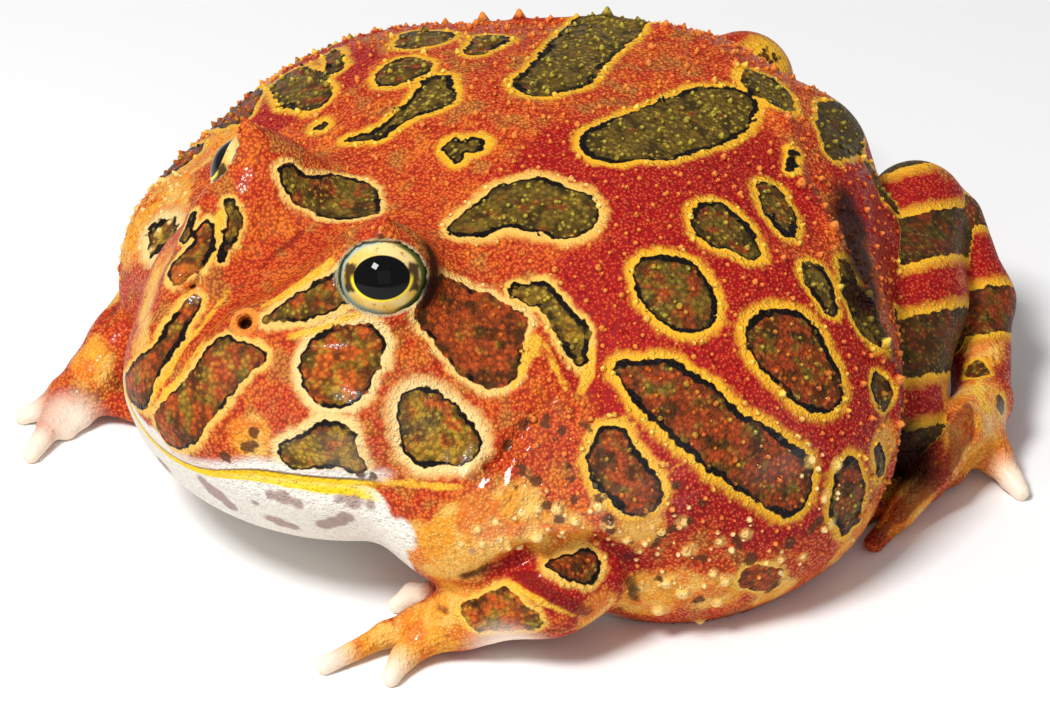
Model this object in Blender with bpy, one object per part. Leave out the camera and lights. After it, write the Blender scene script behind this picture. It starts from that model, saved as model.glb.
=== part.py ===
"""An adult Argentine horned frog, sitting, life size, as a still museum model.

The frog faces -Y, its left side is +X and it rests on the floor z = 0; the origin is under its belly.
Each region of the body is a distance field built from ellipsoids and tapered limbs. The fields are blended
into one body, the body is parted along the neck, the mouth and the joints, and each part becomes a closed
mesh. Sizes are millimetres; only the meshes are metres.
"""

import bpy
import numpy as np
import openvdb  # the volume library that Blender comes with
from mathutils import Vector

MM = 0.001

# Driving sizes
BACK_HEIGHT = 56.5
BODY_HALF_WIDTH = 64.5
NECK_Y = -13.0
SEAM = 0.55
FLAT_BAND = 0.2
EYE_RADIUS = 6.8
EYE_GAP = 0.3
LID = 0.85
LID_OPENING = (6.1, 5.1)
MOUTH_Z = 27.2
MOUTH_SLOPE = 0.08
MOUTH_DIP = 5.6
LOOK = (0.70, -0.52, 0.49)
NOSTRIL_RADIUS = 1.6
NOSTRIL_RIM = 0.6

# The eyes and the horns stand a little unevenly, because the live animal leans
EYES = {"left": (17.8, -30.2, 49.1), "right": (-16.6, -28.2, 49.0)}
HORNS = {
    "left": [(15.5, -29, 52.2, 4.6), (17.0, -29.6, 55.9, 1.7), (18.7, -29.8, 59.0, 0.5)],
    "right": [(-15.5, -27.5, 51.3, 4.8), (-17.3, -28.2, 55.2, 1.6), (-18.8, -28.6, 58.5, 0.5)],
}

# Limbs as points (x, y, z, radius)
UPPER_ARM = {
    "left": [(34, -18, 26, 13), (37.2, -28.6, 20.2, 11.9), (47, -16, 19, 9.2)],
    "right": [(-34, -18, 26, 13), (-40, -24, 17, 11.6), (-47, -18, 17, 9.5)],
}
FOREARM = {
    "left": [(51.3, -18.8, 12.8, 7.4), (50.2, -25.5, 11.6, 7.2), (45.2, -32.8, 7.9, 5.4)],
    "right": [(-48.5, -24, 13, 7.4), (-44.6, -36, 9.2, 5.2), (-43.6, -42, 6.8, 4.0)],
}
FINGERS = {
    "left": [
        [(41.5, -35.5, 5.5, 4.6), (37.6, -39.2, 3.8, 2.3), (35.9, -43.9, 2.6, 1.7), (35, -54.2, 1.2, 1.35)],
        [(42.5, -36, 5.2, 4.4), (41, -41.5, 3.2, 2.2), (41.3, -44.8, 2.1, 1.7), (43.1, -48.4, 1.2, 1.4)],
        [(39, -35, 4.5, 3.0), (33.5, -33.5, 3.8, 1.7), (29.8, -34.6, 2.4, 1.35), (29.3, -37.3, 1.1, 1.25)],
        [(40, -36, 4, 3.0), (36.5, -37.5, 2.4, 1.8), (34, -38.5, 1.3, 1.5)],
    ],
    "right": [
        [(-44.8, -41.5, 6, 3.6), (-46, -46.5, 3.6, 2.4), (-45.6, -50, 2.4, 1.8), (-47.6, -53.6, 1.2, 1.3)],
        [(-44, -42.5, 5.6, 3.6), (-43, -47.5, 3.8, 2.5), (-41, -52, 2.6, 2), (-37.4, -58.3, 1.3, 1.4)],
        [(-42.8, -43.5, 4.6, 3.0), (-40.8, -46.8, 2.4, 1.8), (-39.6, -50.2, 1.3, 1.4)],
        [(-41, -43, 4.5, 3.2), (-36.5, -39.5, 2.8, 1.9), (-32.5, -37, 1.3, 1.5)],
    ],
}
THIGH = {
    "left": [(11, 54, 35, 12.5), (24, 50, 24, 12), (42, 38, 15, 10)],
    "right": [(-11, 54, 35, 12.5), (-24, 50, 24, 12), (-42, 38, 15, 10)],
}
SHANK = {
    "left": [(48.5, 41, 12.5, 8.6), (34.0, 58.0, 20, 8.9), (21.7, 71.2, 25.5, 8.2)],
    "right": [(-52, 41, 13, 9.5), (-38, 60, 20, 9.5), (-27, 77, 26.5, 8.5)],
}
TARSUS = {
    "left": [(24.5, 76, 23, 5.6), (35.5, 73, 15, 5.0), (49.5, 60.5, 8, 4.6)],
    "right": [(-29, 82, 22, 5.8), (-39, 77, 14, 5.0), (-51, 63, 8, 4.6)],
}
TOES = {
    "left": [
        [(54, 56, 6, 4.6), (57.5, 56.2, 3.6, 2.6), (61.5, 55.8, 2.0, 1.6), (64.3, 55.3, 1.2, 1.4)],
        [(50.5, 60, 9.2, 4.2), (55.6, 50, 10, 3.8), (58.2, 42.4, 8.2, 3.4), (60, 34.5, 4, 2.3)],
        [(52.1, 54, 5, 4.4), (54.8, 49, 3.4, 2.7), (55.9, 43.6, 2.6, 2.0), (60.6, 28.5, 1.3, 1.55)],
        [(51, 55, 5, 4.0), (51.5, 45, 2.8, 2.2), (54, 34, 1.7, 1.7), (55.5, 27, 1.3, 1.5)],
        [(50, 55, 5, 4.0), (46.5, 46, 2.4, 1.9), (45, 37, 1.3, 1.5)],
        [(50, 56, 5, 3.8), (43, 50, 2.3, 1.9), (38.5, 45, 1.2, 1.4)],
    ],
    "right": [
        [(-54, 58, 6, 4.6), (-59, 58, 3.0, 2.2), (-66, 57, 1.2, 1.4)],
        [(-53, 56, 5, 4.4), (-57, 46, 2.8, 2.1), (-60.8, 36, 1.8, 1.7), (-63, 29, 1.3, 1.5)],
        [(-52, 56, 5, 4.0), (-52, 45, 2.8, 2.2), (-55, 34, 1.7, 1.7), (-57, 26, 1.3, 1.5)],
        [(-51, 57, 5, 4.0), (-47, 47, 2.4, 1.9), (-46, 38, 1.3, 1.5)],
        [(-51, 58, 5, 3.8), (-43, 52, 2.3, 1.9), (-39, 47, 1.2, 1.4)],
    ],
}
SIDES = {"left": 1.0, "right": -1.0}
CHEEKS = {"left": ((20, -36, 33.5), (15, 13, 9)), "right": ((-15, -33, 34), (13, 12, 9))}
LEAN = 0.2
LEAN_FROM = 14.0


def blend(a, b, radius):
    """The union of two fields, with a fillet of about that radius."""
    share = np.clip(0.5 + 0.5 * (b - a) / radius, 0.0, 1.0)
    return b + (a - b) * share - radius * share * (1.0 - share)


def carve(a, b, radius):
    """Field a with b cut out of it, the edge rounded."""
    return -blend(-a, b, radius)


def ellipsoid(p, centre, radii):
    q = [p[i] - centre[i] for i in range(3)]
    near = np.sqrt(sum((q[i] / radii[i]) ** 2 for i in range(3)))
    steep = np.sqrt(sum((q[i] / radii[i] ** 2) ** 2 for i in range(3)))
    return near * (near - 1.0) / np.maximum(steep, 1e-6)


def limb(p, points, fillet=1.5):
    """A tapered limb through points (x, y, z, radius)."""
    field = None
    for a, b in zip(points[:-1], points[1:]):
        start = np.array(a[:3], float)
        along = np.array(b[:3], float) - start
        t = sum((p[i] - start[i]) * along[i] for i in range(3)) / along.dot(along)
        t = np.clip(t, 0.0, 1.0)
        apart = np.sqrt(sum((p[i] - start[i] - along[i] * t) ** 2 for i in range(3)))
        piece = apart - (a[3] + (b[3] - a[3]) * t)
        field = piece if field is None else blend(field, piece, fillet)
    return field


def branches(p, lists):
    field = limb(p, lists[0])
    for points in lists[1:]:
        field = blend(field, limb(p, points), 1.8)
    return field


def trunk(p):
    """The domed back, the flanks that sag on the floor, the shoulders and the rump."""
    dome = ellipsoid(p, (0, 13.5, 25), (66, 42, BACK_HEIGHT - 25))
    skirt = ellipsoid(p, (2.5, 9, 11.5), (BODY_HALF_WIDTH, 40, 25))
    shoulders = ellipsoid(p, (0, -9.5, 25.5), (60.5, 35, 12))
    rump = ellipsoid(p, (0, 44, 31), (34, 20, 22))
    roll = ellipsoid(p, (49.5, 1, 10), (13.5, 17.5, 11))
    field = blend(blend(dome, skirt, 14), rump, 14)
    return blend(blend(field, shoulders, 12), roll, 6)


def leaning(p):
    """The head leans away on its right, so that side is a little narrower."""
    return [p[0] + LEAN * np.minimum(p[0] + LEAN_FROM, 0), p[1], p[2]]


def skull(p):
    """The head above the mouth, without lids and nostrils."""
    p = leaning(p)
    vault = ellipsoid(p, (1, -20, 28), (41, 28.5, 20.5))
    muzzle = ellipsoid(p, (1.5, -37, 28), (26, 22, 12.5))
    cheeks = np.minimum(*(ellipsoid(p, *CHEEKS[side]) for side in SIDES))
    field = blend(blend(vault, muzzle, 8), cheeks, 8)
    for side, eye in EYES.items():
        sign = SIDES[side]
        brow = ellipsoid(p, (eye[0] - sign * 2.5, eye[1] + 1, eye[2] - 3), (8.5, 9.5, 8.5))
        ridge = limb(p, [(sign * 14, -37, 45.5, 4.5), (sign * 8.5, -45, 40, 4), (sign * 6, -50, 36, 3.5)])
        field = blend(blend(field, brow, 6), ridge, 6)
    return field


def jaw(p):
    p = leaning(p)
    rim = ellipsoid(p, (1.5, -25, 23), (38, 32, 11))
    throat = ellipsoid(p, (0.5, -27.5, 17), (31, 27, 12))
    return blend(rim, throat, 8)


def eye_frame(p, side):
    """Distances from an eye's middle: along its look, level across it, up it and straight."""
    look = np.array(LOOK)
    look[0] *= SIDES[side]
    look /= np.linalg.norm(look)
    level = np.cross((0, 0, 1), look)
    level /= np.linalg.norm(level)
    rise = np.cross(look, level)
    q = [p[i] - EYES[side][i] for i in range(3)]
    along, across, up = (sum(q[i] * axis[i] for i in range(3)) for axis in (look, level, rise))
    return along, across, up, np.sqrt(sum(c * c for c in q))


def lids(p, field):
    """Both eyes' lids, open in an oval, and the sockets behind them."""
    for side in EYES:
        along, across, up, out = eye_frame(p, side)
        field = blend(field, out - (EYE_RADIUS + LID), 2.2)
        oval = (np.sqrt((across / LID_OPENING[0]) ** 2 + (up / LID_OPENING[1]) ** 2) - 1.0) * LID_OPENING[1]
        field = carve(field, np.maximum(oval, 1.5 - along), 0.8)
        field = np.maximum(field, EYE_RADIUS + EYE_GAP - out)
    return field


def nostrils(p, field):
    """A raised ring on each side of the snout, hollowed like a funnel."""
    for sign in SIDES.values():
        spot = np.array((sign * 7.4 + 0.8, -47.6, 43.3))
        way = np.array((sign * 0.5, -0.47, 0.73))
        q = [p[i] - spot[i] for i in range(3)]
        height = sum(q[i] * way[i] for i in range(3))
        apart = np.sqrt(np.maximum(sum(c * c for c in q) - height * height, 0))
        ring = np.sqrt((apart - NOSTRIL_RADIUS) ** 2 + height * height) - NOSTRIL_RIM
        inner, outer = spot - way * 1.8, spot + way * 1.6
        field = blend(field, ring, 0.8)
        field = carve(field, limb(p, [(*inner, 0.7), (*outer, 1.4)]), 0.4)
    return field


def mouth(p):
    """Above the line of the mouth this is positive, below it negative."""
    return p[2] - MOUTH_Z - MOUTH_SLOPE * (p[1] + 45) + MOUTH_DIP * np.exp(-(((p[1] + 60) / 3.6) ** 2))


def plane(p, point, normal):
    """How far past a plane, along its normal."""
    length = np.linalg.norm(normal)
    return sum((p[i] - point[i]) * normal[i] for i in range(3)) / length


def neck(p):
    """Behind the neck this is positive; the neck runs forward at the sides and under the throat."""
    low = 20 - p[2]
    under = (low + np.sqrt(low * low + 25)) / 2
    return (p[1] - NECK_Y + 0.34 * np.sqrt(p[0] ** 2 + 100) + 0.5 * under) / 1.12


def upper_arm(p, sign):
    """Where an upper arm lies: in front of its root, outside the throat, ahead of the flank."""
    root = plane(p, (sign * 44, -20, 20), (-sign * 0.35, 0.65, 0.67))
    throat = plane(p, (sign * 33, -30, 16), (-sign * 0.8, -0.1, 0.6))
    flank = plane(p, (sign * 50, -10, 10), (-sign * 0.2, 1.0, 0))
    return np.maximum(np.maximum(root, throat), flank)


def fields(p):
    """Each region's own field."""
    f = {"trunk": trunk(p), "skull": skull(p), "jaw": jaw(p)}
    for side in SIDES:
        f["horn_" + side] = limb(p, HORNS[side])
        f["upper_arm_" + side] = limb(p, UPPER_ARM[side], 5)
        f["forearm_" + side] = limb(p, FOREARM[side], 3)
        f["hand_" + side] = branches(p, FINGERS[side])
        f["thigh_" + side] = limb(p, THIGH[side], 5)
        f["shank_" + side] = limb(p, SHANK[side], 4)
        f["tarsus_" + side] = limb(p, TARSUS[side], 3)
        f["foot_" + side] = branches(p, TOES[side])
    return f


def body(p, f):
    """The whole frog without its eyes, flat where it touches the floor."""
    field = blend(f["trunk"], blend(f["skull"], f["jaw"], 3), 6)
    for side in SIDES:
        for name, fillet in (
            ("horn_", 1.5), ("upper_arm_", 6), ("forearm_", 1.5), ("hand_", 2),
            ("thigh_", 3), ("shank_", 1.5), ("tarsus_", 1.5), ("foot_", 2),
        ):
            field = blend(field, f[name + side], fillet)
    field = nostrils(p, lids(p, field))
    return np.maximum(field, -p[2])


def regions(p, f):
    """Where each part lies, first come first served; the torso takes what is left."""
    found = []
    for side in SIDES:
        root, tip = (np.array(point[:3]) for point in HORNS[side][1:])
        cut = plane(p, root + 0.4 * (tip - root), root - tip)
        found.append(("horn_" + side, np.maximum(f["horn_" + side] - 1.0, cut)))
    for side, sign in SIDES.items():
        found.append(("hand_" + side, f["hand_" + side] - 0.9))
        found.append(("forearm_" + side, f["forearm_" + side] - 2.0))
        found.append(("upper_arm_" + side, np.maximum(upper_arm(p, sign), f["upper_arm_" + side] - 5)))
    found.append(("head", np.maximum(neck(p), -mouth(p))))
    found.append(("lower_jaw", np.maximum(neck(p), mouth(p))))
    for side in SIDES:
        for name in ("foot_", "tarsus_", "shank_"):
            found.append((name + side, f[name + side] - 0.9))
        found.append(("thigh_" + side, np.maximum(f["thigh_" + side] - 3.5, -f["trunk"] - 5)))
    return found


# Boxes to work in, with the size of a voxel
BOXES = {
    "all": ((-72, -66, -3), (72, 96, 66), 1.0),
    "face": ((-46, -66, -3), (46, -2, 66), 0.6),
}
FACE = ("head", "lower_jaw", "horn_left", "horn_right")

# Triangles left in each part
TRIANGLES = {
    "head": 3600, "lower_jaw": 900, "torso": 3000, "horn": 110, "upper_arm": 400, "forearm": 260,
    "hand": 760, "thigh": 420, "shank": 320, "tarsus": 220, "foot": 820,
}

SKIN = {
    "red": (0.50, 0.12, 0.035, 0.38),
    "orange": (0.62, 0.24, 0.05, 0.42),
    "cream": (0.80, 0.71, 0.55, 0.40),
    "banded": (0.40, 0.17, 0.05, 0.38),
    "eye": (0.03, 0.022, 0.012, 0.06),
}
COLOURS = {
    "head": "red", "torso": "red", "lower_jaw": "cream", "horn": "red", "upper_arm": "orange",
    "forearm": "orange", "hand": "orange", "thigh": "banded", "shank": "banded",
    "tarsus": "banded", "foot": "orange", "eye": "eye",
}


def grid(low, high, step):
    lines = [np.arange(low[i], high[i] + step, step, dtype=np.float32) for i in range(3)]
    return np.meshgrid(*lines, indexing="ij", sparse=True)


def parts_in(p):
    """Each part's field: the body cut to its region and kept a seam away from the parts before it."""
    f = fields(p)
    whole = body(p, f)
    taken = None
    for name, region in regions(p, f):
        part = np.maximum(whole, region)
        if taken is not None:
            part = np.maximum(part, SEAM - taken)
        taken = region if taken is None else np.minimum(taken, region)
        yield name, part
    yield "torso", np.maximum(whole, SEAM - taken)


def kind(name):
    return name.replace("_left", "").replace("_right", "")


def skin_of(name):
    """A named material, made once."""
    slot = COLOURS[kind(name)]
    label = "skin_" + slot if slot != "eye" else "eye_glass"
    material = bpy.data.materials.get(label)
    if material is None:
        material = bpy.data.materials.new(label)
        material.use_nodes = True
        shader = material.node_tree.nodes["Principled BSDF"]
        red, green, blue, rough = SKIN[slot]
        shader.inputs["Base Color"].default_value = (red, green, blue, 1.0)
        shader.inputs["Roughness"].default_value = rough
        shader.inputs["Metallic"].default_value = 0.0
    return material


def new_object(name, points, faces):
    """A smooth-shaded object from points in millimetres."""
    mesh = bpy.data.meshes.new(name)
    mesh.from_pydata((points * MM).tolist(), [], faces)
    mesh.update()
    mesh.polygons.foreach_set("use_smooth", [True] * len(mesh.polygons))
    mesh.materials.append(skin_of(name))
    item = bpy.data.objects.new(name, mesh)
    bpy.context.scene.collection.objects.link(item)
    return item


def closed_part(name, field, low, step):
    """The surface where a field is zero, thinned to the part's share of triangles, its foot flat."""
    volume = openvdb.FloatGrid(10.0)
    volume.copyFromArray(np.ascontiguousarray(np.clip(field, -10.0, 10.0), dtype=np.float32))
    points, quads = volume.convertToQuads(isovalue=0.0)
    points = points * step + np.array(low)
    dense = new_object(name, points, quads.tolist())
    thin = dense.modifiers.new("thin", "DECIMATE")
    thin.ratio = TRIANGLES[kind(name)] / (2 * len(quads))
    evaluated = dense.evaluated_get(bpy.context.evaluated_depsgraph_get()).to_mesh()
    points = np.array([v.co for v in evaluated.vertices]) / MM
    faces = [tuple(f.vertices) for f in evaluated.polygons]
    bpy.data.objects.remove(dense)
    points[points[:, 2] < FLAT_BAND, 2] = 0.0
    return new_object(name, points, faces)


def eyeball(name, side):
    bpy.ops.mesh.primitive_uv_sphere_add(segments=28, ring_count=16, radius=EYE_RADIUS * MM)
    item = bpy.context.active_object
    item.name = name
    look = np.array(LOOK)
    look[0] *= SIDES[side]
    item.rotation_euler = Vector(look).to_track_quat("Z", "Y").to_euler()
    item.location = Vector(EYES[side]) * MM
    item.data.name = name
    item.data.polygons.foreach_set("use_smooth", [True] * len(item.data.polygons))
    item.data.materials.append(skin_of(name))


def main():
    for item in list(bpy.data.objects):
        bpy.data.objects.remove(item)
    for box, (low, high, step) in BOXES.items():
        for name, field in parts_in(grid(low, high, step)):
            if (name in FACE) == (box == "face"):
                closed_part(name, field, low, step)
    for side in EYES:
        eyeball("eye_" + side, side)


main()
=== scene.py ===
"""The looks of a life-size model of an Argentine horned frog, sitting on a pale floor."""

import math

import bpy
import numpy as np
import openvdb
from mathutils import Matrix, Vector


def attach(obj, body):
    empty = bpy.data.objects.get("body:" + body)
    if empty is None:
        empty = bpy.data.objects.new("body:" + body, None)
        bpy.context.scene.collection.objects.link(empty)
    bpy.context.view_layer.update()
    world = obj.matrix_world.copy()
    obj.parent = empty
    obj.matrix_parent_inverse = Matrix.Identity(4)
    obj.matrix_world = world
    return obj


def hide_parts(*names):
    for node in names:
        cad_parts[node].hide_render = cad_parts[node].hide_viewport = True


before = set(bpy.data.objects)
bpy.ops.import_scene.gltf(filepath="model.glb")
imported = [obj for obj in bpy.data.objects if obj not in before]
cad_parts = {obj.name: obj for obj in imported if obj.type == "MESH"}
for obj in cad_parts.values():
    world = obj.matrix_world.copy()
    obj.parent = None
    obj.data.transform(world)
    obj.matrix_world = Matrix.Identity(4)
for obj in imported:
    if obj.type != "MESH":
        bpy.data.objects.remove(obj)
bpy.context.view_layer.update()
MM = 0.001
PER_MM = 1 / MM

# The studio: a white paper floor that runs out of view, and a camera that looks down on the frog
# from its front left. A bright soft box, which glints in the eyes, and a wide dim one light it.
CAMERA_AZIMUTH = 52.0
CAMERA_ELEVATION = 32.0
CAMERA_DISTANCE = 0.600
CAMERA_LENS = 134.47
CAMERA_AIM = Vector((0.0077, 0.0035, 0.0187))
SENSOR_WIDTH = 36.0
FLOOR_SIZE = 6.0
PAPER_WHITE = (0.93, 0.93, 0.93, 1)
PAPER_ROUGHNESS = 0.9
ROOM_LIGHT = 0.34


def direction(azimuth, elevation):
    """The way from the frog to whoever looks at it from that azimuth and elevation."""
    turn = math.radians(azimuth)
    lift = math.radians(elevation)
    return Vector((math.sin(turn) * math.cos(lift), -math.cos(turn) * math.cos(lift), math.sin(lift)))


def add_object(name, data):
    """A new object in the scene."""
    item = bpy.data.objects.new(name, data)
    bpy.context.scene.collection.objects.link(item)
    return item


def new_mesh(name, points, faces):
    """A new mesh in metres."""
    mesh = bpy.data.meshes.new(name)
    mesh.from_pydata(points, [], faces)
    return mesh


def aim(item, way):
    """Turns a camera or a lamp to face along a direction."""
    item.rotation_mode = "QUATERNION"
    item.rotation_quaternion = way.to_track_quat("-Z", "Y")


camera_data = bpy.data.cameras.new("camera")
camera = add_object("camera", camera_data)
camera_data.sensor_width = SENSOR_WIDTH
camera_data.lens = CAMERA_LENS
camera_data.clip_start = 0.01
camera_data.clip_end = 20.0
towards_camera = direction(CAMERA_AZIMUTH, CAMERA_ELEVATION)
camera.location = CAMERA_AIM + towards_camera * CAMERA_DISTANCE
aim(camera, -towards_camera)
bpy.context.scene.camera = camera
bpy.context.scene.view_settings.view_transform = "Standard"


def soft_box(name, azimuth, elevation, distance, size, watts):
    """A square lamp that faces the frog."""
    data = bpy.data.lights.new(name, "AREA")
    data.shape = "SQUARE"
    data.size = size
    data.energy = watts
    lamp = add_object(name, data)
    way = direction(azimuth, elevation)
    lamp.location = CAMERA_AIM + way * distance
    aim(lamp, -way)


soft_box("key_light", azimuth=12, elevation=58, distance=0.9, size=0.24, watts=8.0)
soft_box("fill_light", azimuth=60, elevation=30, distance=1.4, size=1.0, watts=1.0)

world = bpy.data.worlds.new("studio")
bpy.context.scene.world = world
world.use_nodes = True
world.node_tree.nodes["Background"].inputs["Color"].default_value = (1, 1, 1, 1)
world.node_tree.nodes["Background"].inputs["Strength"].default_value = ROOM_LIGHT

edge = FLOOR_SIZE / 2
corners = [(-edge, -edge, 0), (edge, -edge, 0), (edge, edge, 0), (-edge, edge, 0)]
floor_mesh = new_mesh("floor", corners, [(0, 1, 2, 3)])
floor = add_object("floor", floor_mesh)
paper = bpy.data.materials.new("paper")
paper.use_nodes = True
paper.node_tree.nodes["Principled BSDF"].inputs["Base Color"].default_value = PAPER_WHITE
paper.node_tree.nodes["Principled BSDF"].inputs["Roughness"].default_value = PAPER_ROUGHNESS
floor_mesh.materials.append(paper)

# The skin: one loose, moist hide over the whole frog, from the lips to the toes. Its form is a
# distance field built from ellipsoids and tapered limbs in millimetres, blended and then meshed.
BACK_HEIGHT = 56.5
BODY_HALF_WIDTH = 64.5
EYE_RADIUS = 6.8
EYE_GAP = 0.3
LID = 0.85
LID_OPENING = (6.1, 5.1)
LID_FILLET = 2.2
LID_EDGE = 0.8
SOCKET_DEPTH = 1.5
MOUTH_Z = 27.2
MOUTH_SLOPE = 0.08
MOUTH_DIP = 5.6
MOUTH_DIP_WIDTH = 3.6
MOUTH_FRONT_Y = -60
LOOK = (0.70, -0.52, 0.49)
NOSTRIL = (7.4, -47.6, 43.3)
NOSTRIL_SHIFT = 0.8
NOSTRIL_WAY = (0.5, -0.47, 0.73)
NOSTRIL_RADIUS = 1.6
NOSTRIL_RIM = 0.6
NOSTRIL_FILLET = 0.8
FUNNEL = ((-1.8, 0.7), (1.6, 1.4))
FUNNEL_EDGE = 0.4
NECK_Y = -13.0
SIDES = {"left": 1.0, "right": -1.0}

# The ellipsoids of the trunk and the head, each a middle and its radii, and the fillets between them
TRUNK = {
    "dome": ((0, 13.5, 25), (66, 42, BACK_HEIGHT - 25)), "skirt": ((2.5, 9, 11.5), (BODY_HALF_WIDTH, 40, 25)),
    "rump": ((0, 44, 31), (34, 20, 22)), "shoulders": ((0, -9.5, 25.5), (60.5, 35, 12)),
    "roll": ((49.5, 1, 10), (13.5, 17.5, 11)),
}
BROAD_FILLET = 14
SHOULDER_FILLET = 12
HEAD_FILLET = 8
BROW_FILLET = 6
ROLL_FILLET = 6
NECK_FILLET = 6
JAW_FILLET = 3
TOE_FILLET = 1.8
FOLD_FILLET = 2.0
CREASE_EDGE = 1.6
VAULT = ((1, -20, 28), (41, 28.5, 20.5))
MUZZLE = ((1.5, -37, 28), (26, 22, 12.5))
JAW_RIM = ((1.5, -25, 23), (38, 32, 11))
THROAT = ((0.5, -27.5, 17), (31, 27, 12))
BROW_RADII = (8.5, 9.5, 8.5)
SNOUT_RIDGE = [(14, -37, 45.5, 4.5), (8.5, -45, 40, 4), (6, -50, 36, 3.5)]
CHEEKS = {"left": ((20, -36, 33.5), (15, 13, 9)), "right": ((-15, -33, 34), (13, 12, 9))}
LEAN = 0.2
LEAN_FROM = 14.0
EYES = {"left": (17.8, -30.2, 49.1), "right": (-16.6, -28.2, 49.0)}
HORNS = {
    "left": [(15.5, -29, 52.2, 4.6), (17.0, -29.6, 55.9, 1.7), (18.7, -29.8, 59.0, 0.5)],
    "right": [(-15.5, -27.5, 51.3, 4.8), (-17.3, -28.2, 55.2, 1.6), (-18.8, -28.6, 58.5, 0.5)],
}

# Limbs as points (x, y, z, radius)
UPPER_ARM = {
    "left": [(34, -18, 26, 13), (37.2, -28.6, 20.2, 11.9), (47, -16, 19, 9.2)],
    "right": [(-34, -18, 26, 13), (-40, -24, 17, 11.6), (-47, -18, 17, 9.5)],
}
FOREARM = {
    "left": [(51.3, -18.8, 12.8, 7.4), (50.2, -25.5, 11.6, 7.2), (45.2, -32.8, 7.9, 5.4)],
    "right": [(-48.5, -24, 13, 7.4), (-44.6, -36, 9.2, 5.2), (-43.6, -42, 6.8, 4.0)],
}
FINGERS = {
    "left": [
        [(41.5, -35.5, 5.5, 4.6), (37.6, -39.2, 3.8, 2.3), (35.9, -43.9, 2.6, 1.7), (35, -54.2, 1.2, 1.35)],
        [(42.5, -36, 5.2, 4.4), (41, -41.5, 3.2, 2.2), (41.3, -44.8, 2.1, 1.7), (43.1, -48.4, 1.2, 1.4)],
        [(39, -35, 4.5, 3.0), (33.5, -33.5, 3.8, 1.7), (29.8, -34.6, 2.4, 1.35), (29.3, -37.3, 1.1, 1.25)],
        [(40, -36, 4, 3.0), (36.5, -37.5, 2.4, 1.8), (34, -38.5, 1.3, 1.5)],
    ],
    "right": [
        [(-44.8, -41.5, 6, 3.6), (-46, -46.5, 3.6, 2.4), (-45.6, -50, 2.4, 1.8), (-47.6, -53.6, 1.2, 1.3)],
        [(-44, -42.5, 5.6, 3.6), (-43, -47.5, 3.8, 2.5), (-41, -52, 2.6, 2), (-37.4, -58.3, 1.3, 1.4)],
        [(-42.8, -43.5, 4.6, 3.0), (-40.8, -46.8, 2.4, 1.8), (-39.6, -50.2, 1.3, 1.4)],
        [(-41, -43, 4.5, 3.2), (-36.5, -39.5, 2.8, 1.9), (-32.5, -37, 1.3, 1.5)],
    ],
}
THIGH = {
    "left": [(11, 54, 35, 12.5), (24, 50, 24, 12), (42, 38, 15, 10)],
    "right": [(-11, 54, 35, 12.5), (-24, 50, 24, 12), (-42, 38, 15, 10)],
}
SHANK = {
    "left": [(48.5, 41, 12.5, 8.6), (34.0, 58.0, 20, 8.9), (21.7, 71.2, 25.5, 8.2)],
    "right": [(-52, 41, 13, 9.5), (-38, 60, 20, 9.5), (-27, 77, 26.5, 8.5)],
}
TARSUS = {
    "left": [(24.5, 76, 23, 5.6), (35.5, 73, 15, 5.0), (49.5, 60.5, 8, 4.6)],
    "right": [(-29, 82, 22, 5.8), (-39, 77, 14, 5.0), (-51, 63, 8, 4.6)],
}
TOES = {
    "left": [
        [(54, 56, 6, 4.6), (57.5, 56.2, 3.6, 2.6), (61.5, 55.8, 2.0, 1.6), (64.3, 55.3, 1.2, 1.4)],
        [(50.5, 60, 9.2, 4.2), (55.6, 50, 10, 3.8), (58.2, 42.4, 8.2, 3.4), (60, 34.5, 4, 2.3)],
        [(52.1, 54, 5, 4.4), (54.8, 49, 3.4, 2.7), (55.9, 43.6, 2.6, 2.0), (60.6, 28.5, 1.3, 1.55)],
        [(51, 55, 5, 4.0), (51.5, 45, 2.8, 2.2), (54, 34, 1.7, 1.7), (55.5, 27, 1.3, 1.5)],
        [(50, 55, 5, 4.0), (46.5, 46, 2.4, 1.9), (45, 37, 1.3, 1.5)],
        [(50, 56, 5, 3.8), (43, 50, 2.3, 1.9), (38.5, 45, 1.2, 1.4)],
    ],
    "right": [
        [(-54, 58, 6, 4.6), (-59, 58, 3.0, 2.2), (-66, 57, 1.2, 1.4)],
        [(-53, 56, 5, 4.4), (-57, 46, 2.8, 2.1), (-60.8, 36, 1.8, 1.7), (-63, 29, 1.3, 1.5)],
        [(-52, 56, 5, 4.0), (-52, 45, 2.8, 2.2), (-55, 34, 1.7, 1.7), (-57, 26, 1.3, 1.5)],
        [(-51, 57, 5, 4.0), (-47, 47, 2.4, 1.9), (-46, 38, 1.3, 1.5)],
        [(-51, 58, 5, 3.8), (-43, 52, 2.3, 1.9), (-39, 47, 1.2, 1.4)],
    ],
}


def melt(a, b, radius):
    """The union of two fields, with a fillet of about that radius."""
    share = np.clip(0.5 + 0.5 * (b - a) / radius, 0.0, 1.0)
    return b + (a - b) * share - radius * share * (1.0 - share)


def carve(a, b, radius):
    """Field a with b cut out of it, the edge rounded."""
    return -melt(-a, b, radius)


def ellipsoid(p, centre, radii):
    """About how far each place is outside an ellipsoid."""
    q = [p[i] - centre[i] for i in range(3)]
    near = np.sqrt(sum((q[i] / radii[i]) ** 2 for i in range(3)))
    steep = np.sqrt(sum((q[i] / radii[i] ** 2) ** 2 for i in range(3)))
    return near * (near - 1.0) / np.maximum(steep, 1e-6)


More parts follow.
